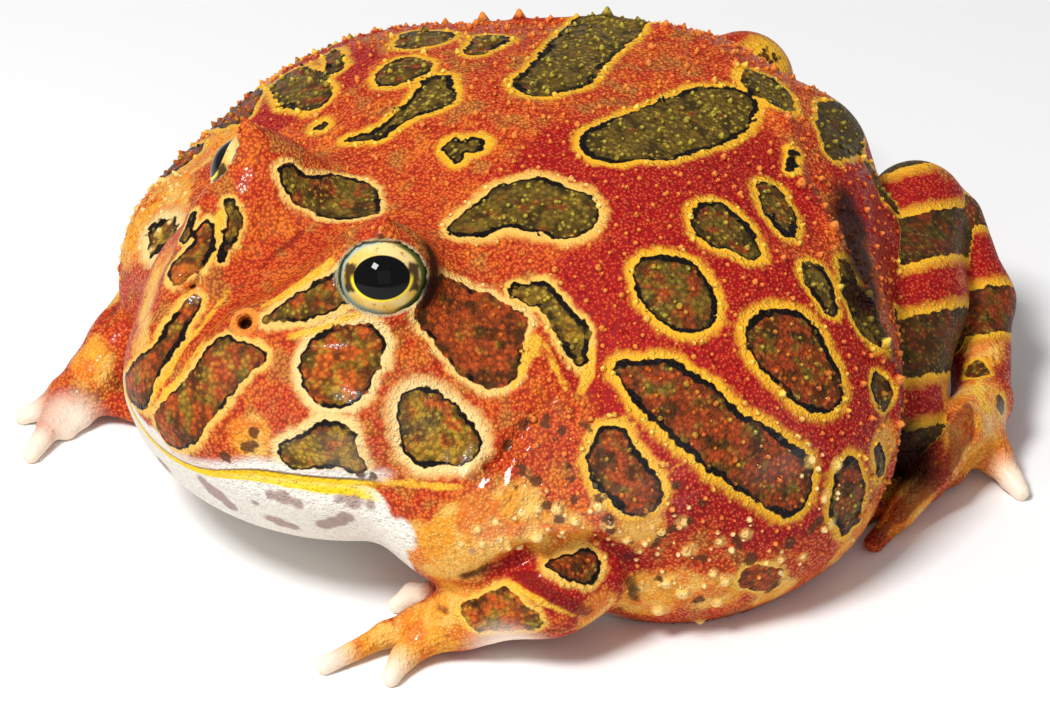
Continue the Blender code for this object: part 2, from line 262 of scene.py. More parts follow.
def limb(p, points, fillet=1.5):
    """A tapered limb through points (x, y, z, radius)."""
    field = None
    for a, b in zip(points[:-1], points[1:]):
        start = np.array(a[:3], float)
        along = np.array(b[:3], float) - start
        t = sum((p[i] - start[i]) * along[i] for i in range(3)) / along.dot(along)
        t = np.clip(t, 0.0, 1.0)
        apart = np.sqrt(sum((p[i] - start[i] - along[i] * t) ** 2 for i in range(3)))
        piece = apart - (a[3] + (b[3] - a[3]) * t)
        field = piece if field is None else melt(field, piece, fillet)
    return field


def branches(p, lists):
    """Several limbs blended, such as the fingers of a hand."""
    field = limb(p, lists[0])
    for points in lists[1:]:
        field = melt(field, limb(p, points), TOE_FILLET)
    return field


def on_side(points, sign):
    """Points as they are, or mirrored to the other side."""
    return [(sign * x, y, z, radius) for x, y, z, radius in points]


def far_from(p, x, y, z):
    """How far each place is from one point."""
    return np.sqrt((p[0] - x) ** 2 + (p[1] - y) ** 2 + (p[2] - z) ** 2)


def trunk(p):
    """The domed back, the flanks that sag on the floor, the shoulders and the rump."""
    dome, skirt, rump, shoulders, roll = (ellipsoid(p, *form) for form in TRUNK.values())
    field = melt(melt(dome, skirt, BROAD_FILLET), rump, BROAD_FILLET)
    return melt(melt(field, shoulders, SHOULDER_FILLET), roll, ROLL_FILLET)


def leaning(p):
    """The head leans away on its right, so that side is a little narrower."""
    return [p[0] + LEAN * np.minimum(p[0] + LEAN_FROM, 0), p[1], p[2]]


def skull(p):
    """The head above the mouth, without lids and nostrils."""
    p = leaning(p)
    cheeks = np.minimum(*(ellipsoid(p, *CHEEKS[side]) for side in SIDES))
    field = melt(melt(ellipsoid(p, *VAULT), ellipsoid(p, *MUZZLE), HEAD_FILLET), cheeks, HEAD_FILLET)
    for side, eye in EYES.items():
        sign = SIDES[side]
        brow = ellipsoid(p, (eye[0] - sign * 2.5, eye[1] + 1, eye[2] - 3), BROW_RADII)
        field = melt(melt(field, brow, BROW_FILLET), limb(p, on_side(SNOUT_RIDGE, sign)), BROW_FILLET)
    return field


def jaw(p):
    """The lower jaw and the throat."""
    p = leaning(p)
    return melt(ellipsoid(p, *JAW_RIM), ellipsoid(p, *THROAT), HEAD_FILLET)


def eye_frame(p, side):
    """Distances from an eye's middle: along its look, level across it, up it and straight."""
    look = np.array(LOOK)
    look[0] *= SIDES[side]
    look /= np.linalg.norm(look)
    level = np.cross((0, 0, 1), look)
    level /= np.linalg.norm(level)
    rise = np.cross(look, level)
    q = [p[i] - EYES[side][i] for i in range(3)]
    along, across, up = (sum(q[i] * axis[i] for i in range(3)) for axis in (look, level, rise))
    return along, across, up, np.sqrt(sum(c * c for c in q))


def lid_oval(across, up):
    """How far each place is outside the oval opening of a lid, as the eye looks."""
    return (np.sqrt((across / LID_OPENING[0]) ** 2 + (up / LID_OPENING[1]) ** 2) - 1.0) * LID_OPENING[1]


def lids(p, field):
    """Both eyes' lids, open in an oval, and the sockets behind them."""
    for side in EYES:
        along, across, up, out = eye_frame(p, side)
        field = melt(field, out - (EYE_RADIUS + LID), LID_FILLET)
        field = carve(field, np.maximum(lid_oval(across, up), SOCKET_DEPTH - along), LID_EDGE)
        field = np.maximum(field, EYE_RADIUS + EYE_GAP - out)
    return field


def nostril(sign):
    """A nostril's middle and the way that it faces."""
    return (sign * NOSTRIL[0] + NOSTRIL_SHIFT, *NOSTRIL[1:]), (sign * NOSTRIL_WAY[0], *NOSTRIL_WAY[1:])


def nostrils(p, field):
    """A raised ring on each side of the snout, hollowed like a funnel."""
    for sign in SIDES.values():
        spot, way = (np.array(values) for values in nostril(sign))
        q = [p[i] - spot[i] for i in range(3)]
        height = sum(q[i] * way[i] for i in range(3))
        apart = np.sqrt(np.maximum(sum(c * c for c in q) - height * height, 0))
        ring = np.sqrt((apart - NOSTRIL_RADIUS) ** 2 + height * height) - NOSTRIL_RIM
        funnel = limb(p, [(*(spot + way * out), radius) for out, radius in FUNNEL])
        field = carve(melt(field, ring, NOSTRIL_FILLET), funnel, FUNNEL_EDGE)
    return field


def mouth(p):
    """Above the line of the mouth this is positive, below it negative."""
    return p[2] - MOUTH_Z - MOUTH_SLOPE * (p[1] + 45) + MOUTH_DIP * np.exp(
        -(((p[1] - MOUTH_FRONT_Y) / MOUTH_DIP_WIDTH) ** 2))


def neck(p):
    """Behind the neck this is positive; the neck runs forward at the sides and under the throat."""
    low = 20 - p[2]
    under = (low + np.sqrt(low * low + 25)) / 2
    return (p[1] - NECK_Y + 0.34 * np.sqrt(p[0] ** 2 + 100) + 0.5 * under) / 1.12


# Each limb's name and points, the fillet inside it and the fillet where it joins the body
LIMBS = (
    ("horn_", HORNS, 1.5, 1.5), ("upper_arm_", UPPER_ARM, 5, 6), ("forearm_", FOREARM, 3, 0.9),
    ("hand_", FINGERS, None, 2), ("thigh_", THIGH, 5, 3), ("shank_", SHANK, 4, 1.5),
    ("tarsus_", TARSUS, 3, 1.5), ("foot_", TOES, None, 2),
)

# Where the hide folds in: over the forearm, behind the elbow and behind the corner of the mouth
CREASES = [
    [(46.5, -37.5, 15, 0.6), (49, -34, 16.8, 1.2), (51.5, -30, 19, 1.5), (53.5, -26, 19.7, 1.6),
     (56, -22.5, 20, 1.5), (58.5, -19.3, 18.5, 1.3), (59.3, -17.2, 15, 1.2), (59.3, -16, 9, 1.0)],
    [(43.5, -34, 28.5, 0.5), (44.5, -31, 31, 0.5), (44.5, -26, 34, 0.4), (44, -20, 37.5, 0.2)],
]

# Where it stands proud: a fold along each side of the back, down to the flank
FOLD = [
    (-4, 47, 53, 0.5), (8.5, 44, 53.5, 1.0), (21.5, 42.5, 50.5, 1.2), (34, 35, 47, 1.4),
    (42, 34, 43.5, 1.5), (53, 31, 38, 1.5), (58.5, 29.5, 33.5, 1.4), (61, 30, 28.5, 1.3),
    (62.5, 28.5, 22.5, 1.1), (62.5, 28.5, 15, 0.6),
]

# A pocket deep between the left foot and the shank, filled with flesh
POCKET = [(53.1, 46.8, 6.5, 0.5), (53.3, 46.8, 6.5, 0.5)]


def body(p):
    """The whole frog without its eyes, flat where it touches the floor."""
    field = melt(trunk(p), melt(skull(p), jaw(p), JAW_FILLET), NECK_FILLET)
    for side in SIDES:
        for name, points, inner, outer in LIMBS:
            part = branches(p, points[side]) if inner is None else limb(p, points[side], inner)
            field = melt(field, part, outer)
    for sign in SIDES.values():
        field = melt(field, limb(p, on_side(FOLD, sign)), FOLD_FILLET)
        for points in CREASES:
            field = carve(field, limb(p, on_side(points, sign)), CREASE_EDGE)
    field = nostrils(p, lids(p, np.minimum(field, limb(p, POCKET))))
    return np.maximum(field, -p[2])


# The grid on which the skin is meshed, in mm: coarse cells everywhere, fine ones near the skin
VOXEL = 0.62
COARSE = 3
CELL_REACH = 0.87
BAND_MARGIN = 1.6
FIELD_LIMIT = 10.0
FLOOR_SNAP = 0.2
FOLDS_ABOVE = 1.0
SKIN_TRIANGLES = 196000
SKIN_LOW = (-72.0, -66.0, -2.8)
SKIN_HIGH = (72.0, 96.0, 66.0)


def surface(field_of, low, high, voxel):
    """The zero surface of a field as points and quads. Fine voxels are worked out only near it."""
    counts = [int(math.ceil((high[i] - low[i]) / (voxel * COARSE))) for i in range(3)]
    middle = voxel * (COARSE - 1) / 2
    axes = [low[i] + middle + np.arange(counts[i]) * voxel * COARSE for i in range(3)]
    rough = field_of(np.meshgrid(*axes, indexing="ij", sparse=True))
    fine = rough.repeat(COARSE, 0).repeat(COARSE, 1).repeat(COARSE, 2).astype(np.float32)
    cells = np.argwhere(np.abs(rough) < voxel * COARSE * CELL_REACH + BAND_MARGIN)
    steps = np.array([(i, j, k) for i in range(COARSE) for j in range(COARSE) for k in range(COARSE)])
    band = (cells[:, None, :] * COARSE + steps[None, :, :]).reshape(-1, 3)
    fine[band[:, 0], band[:, 1], band[:, 2]] = field_of([low[i] + band[:, i] * voxel for i in range(3)])
    volume = openvdb.FloatGrid(FIELD_LIMIT)
    volume.copyFromArray(np.ascontiguousarray(np.clip(fine, -FIELD_LIMIT, FIELD_LIMIT)))
    points, quads = volume.convertToQuads(isovalue=0.0)
    return points * voxel + np.array(low), quads


skin_points, skin_quads = surface(body, SKIN_LOW, SKIN_HIGH, VOXEL)
skin_points[skin_points[:, 2] < FLOOR_SNAP, 2] = 0.0
dense_mesh = new_mesh("dense_skin", (skin_points * MM).tolist(), skin_quads.tolist())
dense_skin = add_object("dense_skin", dense_mesh)
thin = dense_skin.modifiers.new("thin", "DECIMATE")
thin.ratio = SKIN_TRIANGLES / (2 * len(skin_quads))
thinned = dense_skin.evaluated_get(bpy.context.evaluated_depsgraph_get())
skin_mesh = bpy.data.meshes.new_from_object(thinned)
skin_mesh.name = "skin"
bpy.data.objects.remove(dense_skin)
skin = add_object("skin", skin_mesh)
skin_mesh.polygons.foreach_set("use_smooth", [True] * len(skin_mesh.polygons))


def places(mesh):
    """A mesh's points in millimetres, as x, y and z."""
    flat = np.empty(len(mesh.vertices) * 3, np.float32)
    mesh.vertices.foreach_get("co", flat)
    return (flat.reshape(-1, 3) / MM).T.astype(float)


def normals(mesh):
    """The way that a mesh faces at each point, as x, y and z."""
    flat = np.empty(len(mesh.vertices) * 3, np.float32)
    mesh.vertex_normals.foreach_get("vector", flat)
    return flat.reshape(-1, 3).T.astype(float)


# The loose hide creases over the shoulder, in folds that run up and back from the corner of the
# mouth, and again where the flank sags. Each patch of folds is (middle, reach, way, spacing, depth).
FOLDS = [
    ((48, -29, 28), 11, (0.45, 0.8, -0.45), 2.6, 0.42),
    ((42, -14, 39), 9, (0.75, 0.25, -0.5), 3.1, 0.20),
    ((66, 20, 12), 14, (-0.3, 0.9, 0.3), 3.6, 0.25),
]
where = places(skin_mesh)
outward = normals(skin_mesh)
lift = np.zeros(where.shape[1])
for middle, reach, way, spacing, depth in FOLDS:
    for sign in SIDES.values():
        away = far_from(where, sign * middle[0], *middle[1:])
        along = sign * where[0] * way[0] + where[1] * way[1] + where[2] * way[2]
        wander = 0.9 * np.sin(where[1] / 4.1 + where[2] / 5.3) + 0.6 * np.sin(where[2] / 2.3 - where[1] / 3.1)
        lift += depth * np.clip(1 - away / reach, 0, 1) * np.sin((along + wander) * 2 * math.pi / spacing)
moved = (where + outward * lift).T
moved[:, 2] = np.where(where[2] < FOLDS_ABOVE, where[2], moved[:, 2])
skin_mesh.vertices.foreach_set("co", (moved * MM).astype(np.float32).ravel())
skin_mesh.update()

# The markings: dark islands with a beaded black edge and a pale rim, on red. Each island is a short
# stroke of points (x, y, z, radius) along the skin, with a tint from olive 0 to russet 1.
ISLANDS = {
    "between_eyes": (0.35, [
        (-9, -27.5, 53, 1.8), (-6.5, -26.5, 51, 2.6), (-4, -21.5, 49, 5.3), (0, -20.5, 49, 2.4),
    ]),
    "nostril_eye": (0.5, [
        (11.5, -46, 45, 0.9), (14.5, -42.5, 47, 1.9), (17, -40.5, 49, 2.4), (18, -38, 50, 2.6),
    ]),
    "under_eye": (0.55, [(24, -38.5, 43.5, 3.4), (24, -42.5, 42, 5.9), (25, -43.5, 41, 4.8)]),
    "cheek": (0.35, [(40, -34, 34, 3.6), (37, -35.5, 34.5, 5.0), (35, -36, 37, 3.8)]),
    "lip": (0.2, [(24, -50.5, 30, 2.6), (29, -47.5, 33, 3.7), (31, -45, 29.5, 1.6)]),
    "snout_left": (0.62, [
        (4, -59, 27.5, 3.5), (6.5, -58, 30.5, 4.1), (8.5, -55.5, 34.5, 3.6), (9.5, -52, 39, 3.8),
        (13, -49, 40.5, 1.5),
    ]),
    "snout_right": (0.7, [
        (-3.5, -48.5, 41.5, 1.2), (-2.5, -53, 38.5, 1.8), (-2.5, -55, 36, 1.7), (-5, -58, 30.5, 4.0),
        (-10, -56.5, 26.5, 2.1),
    ]),
    "right_face": (0.7, [(-8.5, -47, 44.5, 3.0), (-9, -43, 46.5, 1.6), (-10.5, -41.5, 48, 1.5)]),
    "right_cheek": (0.3, [(-13, -43.5, 46.5, 1.4), (-14.5, -41, 48.5, 0.7)]),
    "right_brow": (0.3, [
        (-6, -42, 45.2, 0.7), (-7.3, -39.7, 47, 1.0), (-8.7, -37.4, 49, 1.1), (-10.8, -37, 50.8, 0.8),
    ]),
    "behind_eye": (0.85, [
        (25, -26, 46, 4.5), (25, -23.5, 45.5, 4.1), (29, -23, 43.5, 6.5), (33, -24.5, 41.5, 4.5),
        (35.5, -24, 40.5, 3.7), (32, -17.5, 43.5, 2.2),
    ]),
    "nape_band": (0.15, [
        (42, -13.5, 40.5, 1.2), (39, -12, 42.5, 2.2), (32.5, -11.5, 45.5, 1.5), (31, -12, 45.5, 2.3),
        (28.5, -14, 45.5, 1.4),
    ]),
    "back_top": (0.0, [
        (-3.5, 15.5, 56.5, 4.5), (-4, 19, 56, 5.1), (-9, 26.5, 55, 5.4), (-14.5, 35.5, 54, 6.4),
        (-19, 41.5, 52, 6.7),
    ]),
    "back_middle": (0.0, [
        (16.5, 13, 55.5, 4.9), (17.5, 19.5, 55, 6.5), (16.5, 29, 54, 6.5), (15.5, 33.5, 54, 6.2),
        (15, 37.5, 53.5, 4.1),
    ]),
    "back_front": (0.15, [
        (24, -1.5, 52, 4.7), (18.5, -4, 52.5, 5.0), (16, -6.5, 51.5, 3.9), (15, -10.5, 50, 3.2),
        (14, -13.5, 49.5, 1.8),
    ]),
    "pair_left": (0.1, [(0, -4, 53.5, 1.8), (3, -5.5, 53, 0.8)]),
    "pair_right": (0.2, [(2.5, -2, 54, 1.9)]),
    "tapered": (0.1, [
        (-15.5, 4.5, 55, 2.6), (-12.5, 1.5, 54.5, 3.7), (-13, -3, 53.5, 2.0), (-13, -6, 52, 1.4),
        (-13, -8, 51.5, 1.4), (-17.5, -11, 49.5, 0.6),
    ]),
    "far_a": (0.3, [(-22.5, 5.5, 54, 3.0), (-24, 4, 53.5, 4.2), (-25, 5, 53.5, 3.6)]),
    "far_b": (0.3, [(-36.5, 15.5, 51.5, 2.3), (-32, 14.5, 52.5, 4.8), (-31, 14.5, 52.5, 3.4)]),
    "far_c": (0.3, [(-20, 15.5, 55, 2.0), (-23, 21, 54, 2.9), (-22, 20, 54, 2.5)]),
    "far_d": (0.3, [(-32.5, -6, 48.5, 2.8), (-39.5, -4, 46.5, 4.3), (-47.5, -1, 44, 3.4)]),
    "far_e": (0.4, [(-37, 1, 49.5, 1.5), (-45, 6, 47.5, 1.4)]),
    "far_f": (0.2, [(-25, -10, 48.5, 0.9), (-26.5, -10.5, 47.5, 0.7)]),
    "spine_a": (0.3, [
        (43.5, 16.5, 48.5, 2.1), (40, 16, 50, 3.7), (38.5, 15.5, 50.5, 4.4), (36.5, 16, 51, 3.2),
    ]),
    "spine_b": (0.3, [(34, 29, 49.5, 2.4), (38.5, 27, 48.5, 2.9), (41.5, 25.5, 48, 1.8)]),
    "rump": (0.1, [(12.5, 46, 52.5, 4.0), (14.5, 46, 52.5, 3.9), (16.5, 45.5, 52, 3.0)]),
    "fold_spot": (0.2, [(27.5, 39, 49.5, 1.1), (30.5, 36, 49, 0.8)]),
    "hip": (0.1, [
        (27, 47.5, 46.5, 1.5), (23.5, 51.5, 46.5, 3.7), (19.5, 56.5, 45, 5.1), (16.5, 61, 43.5, 3.6),
    ]),
    "flank_a": (0.4, [
        (47.5, 2.5, 45.5, 3.7), (46, 2.5, 46, 4.7), (43, 2.5, 47.5, 5.1), (40.5, 2, 48.5, 3.5),
    ]),
    "flank_b": (0.65, [
        (62.5, 14.5, 35.5, 3.9), (61.5, 13.5, 37, 5.1), (57.5, 12.5, 40.5, 6.1), (56, 11, 41.5, 4.5),
    ]),
    "flank_long": (0.7, [
        (47.5, -9.5, 40, 1.7), (52.5, -7, 38.5, 4.5), (57.5, -5, 36, 5.0), (62, -3, 32.5, 4.6),
        (64, -0.5, 30.5, 4.9), (66.5, 4.5, 25.5, 4.7), (67.5, 5, 23, 3.1),
    ]),
    "shoulder": (0.75, [
        (59, -16.5, 28.5, 3.7), (56, -17.5, 30.5, 4.0), (54.5, -17.5, 32, 3.5), (53, -16.5, 33, 2.9),
    ]),
    "flank_rear": (0.6, [(68, 15.5, 22.5, 2.9), (68, 15.5, 18.5, 4.1), (68, 16.5, 15, 3.0)]),
    "fold_a": (0.3, [(54, 23, 41.5, 1.6), (50.5, 24, 43.5, 2.8), (49.5, 24.5, 44, 2.5)]),
    "fold_b": (0.3, [
        (57.5, 30, 35, 2.3), (55.5, 29, 37.5, 2.9), (52, 29, 40.5, 1.7), (47.5, 31.5, 42, 1.1),
    ]),
    "fold_c": (0.5, [(62.5, 26.5, 29, 2.2), (62.5, 26, 30.5, 2.3)]),
    "fold_d": (0.5, [(65.5, 24.5, 19, 1.8), (66, 23, 23, 1.0)]),
    "flank_low": (0.8, [(66.5, -1, 11, 2.3), (67, 1.5, 9.5, 2.4), (67, 3, 8.5, 1.4)]),
    "tarsus_patch": (0.6, [(48.5, 60, 13.5, 2.0)]),
    "tarsus_spot": (0.3, [(55.5, 60, 11.8, 1.0), (55.5, 58.5, 10.4, 1.0)]),
    "forearm_a": (0.75, [
        (56, -24, 17, 2.7), (55, -26, 17.5, 1.9), (54, -27.5, 18, 1.2), (53.5, -28, 18, 0.5),
    ]),
    "forearm_b": (0.6, [
        (54, -32, 10.5, 2.0), (51, -34, 11, 3.4), (49, -36.5, 10, 2.6), (47, -38, 10.5, 1.5),
    ]),
}

# The right flank, out of the camera's sight, carries the left one's islands the other way round
MIRRORED = (
    "flank_b", "flank_long", "shoulder", "flank_rear", "fold_a", "fold_b", "fold_c", "fold_d", "flank_low",
    "cheek", "forearm_a", "forearm_b",
)
# Bands across the hind legs: the way to measure along, each band's middle and half its width, the tint,
# and the rim and flesh as in the list below
RINGS = [
    ("shank_", (-0.627, 0.168, 0.76),
     [(-21.5, 4.0), (-5.0, 4.7), (12.1, 3.9), (27.5, 3.0)], 0.5, (1.8, 0.0, -0.62)),
    ("tarsus_", (-0.71, 0.277, 0.648),
     [(1.2, 3.9), (18.5, 2.6)], 0.62, (1.8, 0.0, -0.25)),
    ("thigh_", (0.77, -0.4, -0.5),
     [(-22.0, 3.0), (4.0, 3.5)], 0.4, (1.2, 0.0, -0.6)),
]

# Each island's rim and flesh: the rim's width, how creamy it is, and how bright the flesh is, below 0 dim
LOOKS = {
    "under_eye": (1.5, 1.0, 0.8), "cheek": (1.8, 1.0, 0.8), "lip": (1.4, 1.0, 0.8),
    "nostril_eye": (1.0, 0.5, 0.5), "snout_left": (1.1, 0.35, 0.5), "snout_right": (1.0, 0.2, 0.5),
    "right_face": (0.9, 0.4, 0.6), "right_cheek": (0.6, 0.3, 0.5), "right_brow": (0.7, 0.3, 0.5),
    "behind_eye": (1.1, 0.6, 0.3), "between_eyes": (0.9, 0.5, 0.1), "nape_band": (0.9, 0.3, 0.6),
    "shoulder": (1.3, 0.1, 0.3), "back_front": (1.5, 0.35, 0.0), "forearm_a": (1.0, 0.3, -0.2),
    "forearm_b": (0.9, 0.2, 0.7), "flank_long": (1.5, 0.0, 0.1), "flank_b": (1.6, 0.0, 0.0),
    "hip": (1.0, 0.0, -0.6), "fold_spot": (0.8, 0.0, -0.4), "tarsus_patch": (0.7, 0.0, 0.3),
    "tarsus_spot": (0.6, 0.0, -0.5), "fold_a": (1.0, 0.0, -0.2), "fold_b": (1.1, 0.0, -0.4),
    "fold_c": (0.9, 0.0, -0.5), "flank_low": (0.8, 0.2, 0.4),
}
PLAIN_LOOK = (1.35, 0.0, 0.0)

# How fast a band ends off its own leg, and how bold its black edge is
BAND_FADE = 6.0
BAND_BORDER = 0.25

# How far from the marks the paint still counts them, and where the face ends
GROUND_REACH = 6.0
WART_REACH = 2.2
FLECK_REACH = 1.25
CHIN_REACH = 1.6
FACE_MIDDLE = (18, -38, 40)
FACE_RADIUS = 18
FACE_FADE = 22

# Soft patches (x, y, z, radius): golden, white, pale at the fingers' ends, crimson, and painted shade in
# hollows
GOLD = [
    (43.5, -40, 18.5, 3.0), (47, -37.5, 22.5, 3.0), (50, -32, 25.5, 2.5), (54, -26.5, 21.5, 2.0),
    (58, -14.5, 8.5, 2.0), (62, -10.5, 10.5, 0.6), (64, -5.5, 8.5, 0.6), (66, 4, 5.5, 0.6),
    (60, -17, 22.5, 0.6), (38, -47.5, 2.6, 2.0), (42.5, -45.5, 2.6, 1.5), (-9.5, -54, 35, 0.6),
    (-14, -49.5, 37, 0.8), (-17, -45.5, 39.5, 1.5), (17.5, -53.5, 31, 0.4), (45, -38.5, 9, 2.0),
    (41, -41, 5, 2.0), (46, -42, 4, 1.5), (58, -23, 10, 0.5), (66, 20, 8, 3.0), (65.5, 25, 22, 0.8),
    (-43.5, -30, 31, 6.0), (-47.5, -25, 32, 5.0), (-47, -17, 36, 4.0), (-42.5, -43.5, 10.5, 0.8),
    (-60, -16, 11, 3.0), (-66, 10, 9, 4.0), (58, 55, 8, 4.0), (-60, 58, 4, 4.0), (55, 55.5, 13, 2.5),
    (53.5, 52, 13.5, 1.5), (60, 49, 9.5, 3.0), (-54, 64, 8, 3.0), (61.5, 34.5, 5.5, 2.0), (46, 64, 15, 0.8),
    (-58, 40, 3, 5.0), (50, 40, 3, 4.0), (-50, 40, 3, 4.0), (-37, -31, 33.5, 1.5), (-58, 0, 34, 5.0),
    (-60, 0, 24, 5.0),
]
WHITE = [
    (33.5, -44, 22.5, 1.0), (34.5, -43, 20, 1.6), (35, -42.5, 18, 1.6), (34.5, -41, 15, 1.6),
    (38, -42.5, 20.5, 0.6), (29, -35, 5, 0.8), (33.5, -39, 10, 0.5), (-7, -57, 22, 1.5),
    (-3.5, -57.5, 21, 2.0), (0, -57.5, 22, 1.5), (57, -27, 4, 0.3),
]
PALE = [
    (35, -55, 1.2, 0.0), (43.3, -49.2, 1.2, -0.6), (29.5, -38, 1.5, 2.0), (-47.6, -54, 1.5, 0.4),
    (-37, -58, 1.5, 0.8), (-39.6, -50, 1.5, 0.6), (65, 54.8, 2, 1.0), (51, -33, 3, 1.0), (45, 37, 1.3, 1.0),
    (38.5, 45, 1.2, 1.0), (-66, 57, 1.2, 1.0), (-63, 29, 1.3, 1.0), (-57, 26, 1.3, 1.0),
    (-46, 38, 1.3, 1.0), (-39, 47, 1.2, 1.0),
]
CRIMSON = [
    (21, 7.5, 54.5, 9), (46, -1, 45, 12), (53.5, 10.5, 43.5, 10), (58, -10, 32, 7), (66, 3.5, 27.5, 8),
    (31, 23, 52, 10), (61, 23, 35, 8), (53, -29.5, 15.5, 2), (57, -22, 13, 3), (-41, -2.5, 46.5, 8),
    (-58, 10, 34, 14), (42, 47, 16, 14), (-42, 47, 16, 14), (29, 57, 35, 12), (-29, 59, 35, 12),
    (33, 75, 22, 8), (-36, 80, 20, 8),
]
SHADE = [
    (21.5, -23.6, 52.3, 0.3), (23.2, -24.6, 51, 0.5), (24.6, -26, 49.6, 0.4), (34.5, 43.5, 43, 0.8),
    (38, 41.8, 41.7, 2.6), (43, 38.5, 40.2, 3.0), (48, 35, 39.5, 3.0), (53, 30.5, 39.2, 1.6),
    (57.5, 31.5, 33, 1.4), (59.5, 34, 25, 2.2), (58, 36, 14.5, 2.5), (57, 39, 9, 2.5), (54, 41, 10, 3.0),
    (-58, 40, 9, 2.0),
]
# Deep red lines: the hide's own stripes, and painted shade in the crease between the eyes and along the long
# toe
GROOVES = [
    [(-1.1, -38.1, 44.6, 0.35), (-1.7, -35.2, 45.6, 0.5), (-1.7, -32.4, 46.6, 0.45), (-2, -30.3, 47.3, 0.3)],
    [(50, -32.5, 16.5, 0.7), (53, -31, 16.5, 1.0), (56.5, -29.5, 14.5, 1.0), (58, -27, 12.5, 1.0),
     (58, -24.5, 10.5, 0.8)],
    [(55.5, 51.5, 14, 0.8), (58.5, 47.5, 12.5, 2.0), (61, 44, 10.5, 1.4), (61, 39, 8, 1.6),
     (61, 33, 5, 1.4), (61, 28, 2.5, 1.2)],
    [(41.5, -39, 8.5, 0.4), (43.5, -39, 9, 0.5)],
]
# Painted shade: thin dark lines where the skin folds against itself
SHADED_SEAMS = [
    [(46, -37.2, 15.2, 0.05), (49, -33.5, 17, 0.2), (51.5, -30, 19, 0.35), (53.5, -26, 19.5, 0.5),
     (56, -22.5, 20, 0.45), (58, -19.5, 18.5, 0.35), (58.8, -17.5, 16.5, 0.4), (59, -16.8, 13, 0.3),
     (57.5, -15.5, 8, 0.0)],
    [(20.5, -23.6, 53, 0.1), (22.5, -24.5, 51.5, 0.35), (24, -25.5, 50, 0.45), (25, -27, 49, 0.35),
     (25.5, -28.5, 47.5, 0.1)],
]
# Thin golden lines on the face, the nape, the forearm, the hands and the foot
LINES = [
    [(36, -17, 42, 1.2), (37, -19.5, 41, 1.1), (38.5, -21.5, 40, 0.7), (39.5, -23.5, 39, 0.5)],
    [(37.5, -16, 41.5, 0.3), (41, -17, 40, 0.4), (44, -17.5, 38, 0.3)],
    [(42.5, -11.5, 41.5, 0.6), (44.5, -14, 39.5, 0.8), (45.5, -16, 38, 0.5)],
    [(15.5, -45, 43.5, 0.3), (18.5, -42, 45, 0.4), (20.5, -39.5, 46.5, 0.4), (22, -37.5, 47.5, 0.4)],
    [(9, -45, 45.5, 0.3), (11.5, -42, 48, 0.6), (14, -38.5, 51, 0.7), (15, -37, 52.5, 0.8)],
    [(-6.6, -43.9, 45.1, 0.3), (-7.7, -42.4, 46.1, 0.5), (-9.3, -40.6, 47.7, 0.6),
     (-10.6, -38.7, 49.5, 0.5)],
    [(49, -33.5, 15.2, 0.3), (52, -32.5, 14.8, 0.4), (55.5, -31, 13.8, 0.4), (57.5, -29, 12.5, 0.3),
     (58, -27, 11, 0.2)],
    [(31, -44.5, 27.6, 0.2), (34.5, -42.5, 27.7, 0.3), (38, -40.5, 28.5, 0.4), (41.5, -38.5, 29, 0.4),
     (44, -36.5, 29.4, 0.3)],
    [(-1.5, -44, 42.5, 0.2), (0.5, -51, 39, 0.35), (0.5, -56, 34.5, 0.5), (-0.5, -58.5, 30.5, 0.5)],
    [(2.5, -47.5, 41, 0.2), (4.2, -53, 38.8, 0.35), (3.3, -56, 34.5, 0.5), (1.5, -58.5, 31, 0.5)],
    [(-43.2, -42.6, 11, 0.2), (-41.6, -43.6, 10.8, 0.3)],
    [(49.5, 59.5, 14.3, 0.5), (53, 56, 13.8, 0.9), (56, 54.5, 12, 1.1), (58, 54, 9.5, 0.5)],
]
# Small dark flecks, and the mauve spots of the chin
DARK_SPOTS = [
    (44, -25, 35, 0.5), (44, -24, 35.5, 0.4), (45, -22, 36, 0.4), (45.5, -22.5, 35, 0.4),
    (44, -28, 33, 0.6), (47.5, -21, 34.5, 0.4), (48, -22, 33.5, 0.5), (48.5, -18, 35, 0.4),
    (49.5, -18, 34.5, 0.5), (47.5, -28, 31, 0.5), (48, -30, 29, 0.5), (51, -23, 31, 0.4),
    (52.5, -23.5, 30, 0.5), (57, -19, 29, 0.6), (61.5, -11.5, 28.5, 0.5), (63.5, -8.5, 25.5, 0.4),
    (15.5, -34, 54.5, 0.4), (18, -53.5, 32, 0.6), (17.5, -54.5, 29.5, 0.7), (18.5, -53.5, 30, 0.5),
    (14.5, -56, 27, 0.7), (32.5, -43, 28, 0.5), (31.5, -44.5, 28, 0.5), (-6.5, -40, 46, 0.5),
    (55, 59, 11.5, 0.7), (55.5, 58, 11, 0.6), (58, -20.5, 23, 0.5), (61, -14, 21, 0.5), (64, -8.5, 16, 0.6),
    (66, -3, 17, 0.5), (68.5, 8, 16.5, 0.5), (19.5, -31.5, 57, 0.4), (59, -18, 20, 0.5),
    (60.5, -14.5, 19, 0.5), (62, -12.5, 22, 0.6), (63.5, -10.5, 23, 0.4), (64, -8, 15.5, 0.7),
    (66.5, -1.5, 14.5, 0.8), (66, -4, 18.5, 0.5), (58, -21, 25, 0.6), (56.5, -21.5, 28, 0.5),
    (54.5, -24.5, 28, 0.4), (54, -26.5, 25, 0.5), (68.5, 9.5, 17.5, 0.6), (63, -8, 8, 0.6),
    (66.5, 2.5, 7, 0.6), (52.5, -27.5, 27, 0.5), (50, -27.5, 30, 0.6), (48, -28.5, 31, 0.5),
    (60.5, -17, 25.5, 0.6), (68, 4.5, 15.5, 0.7), (60, -13, 12.5, 0.5),
]
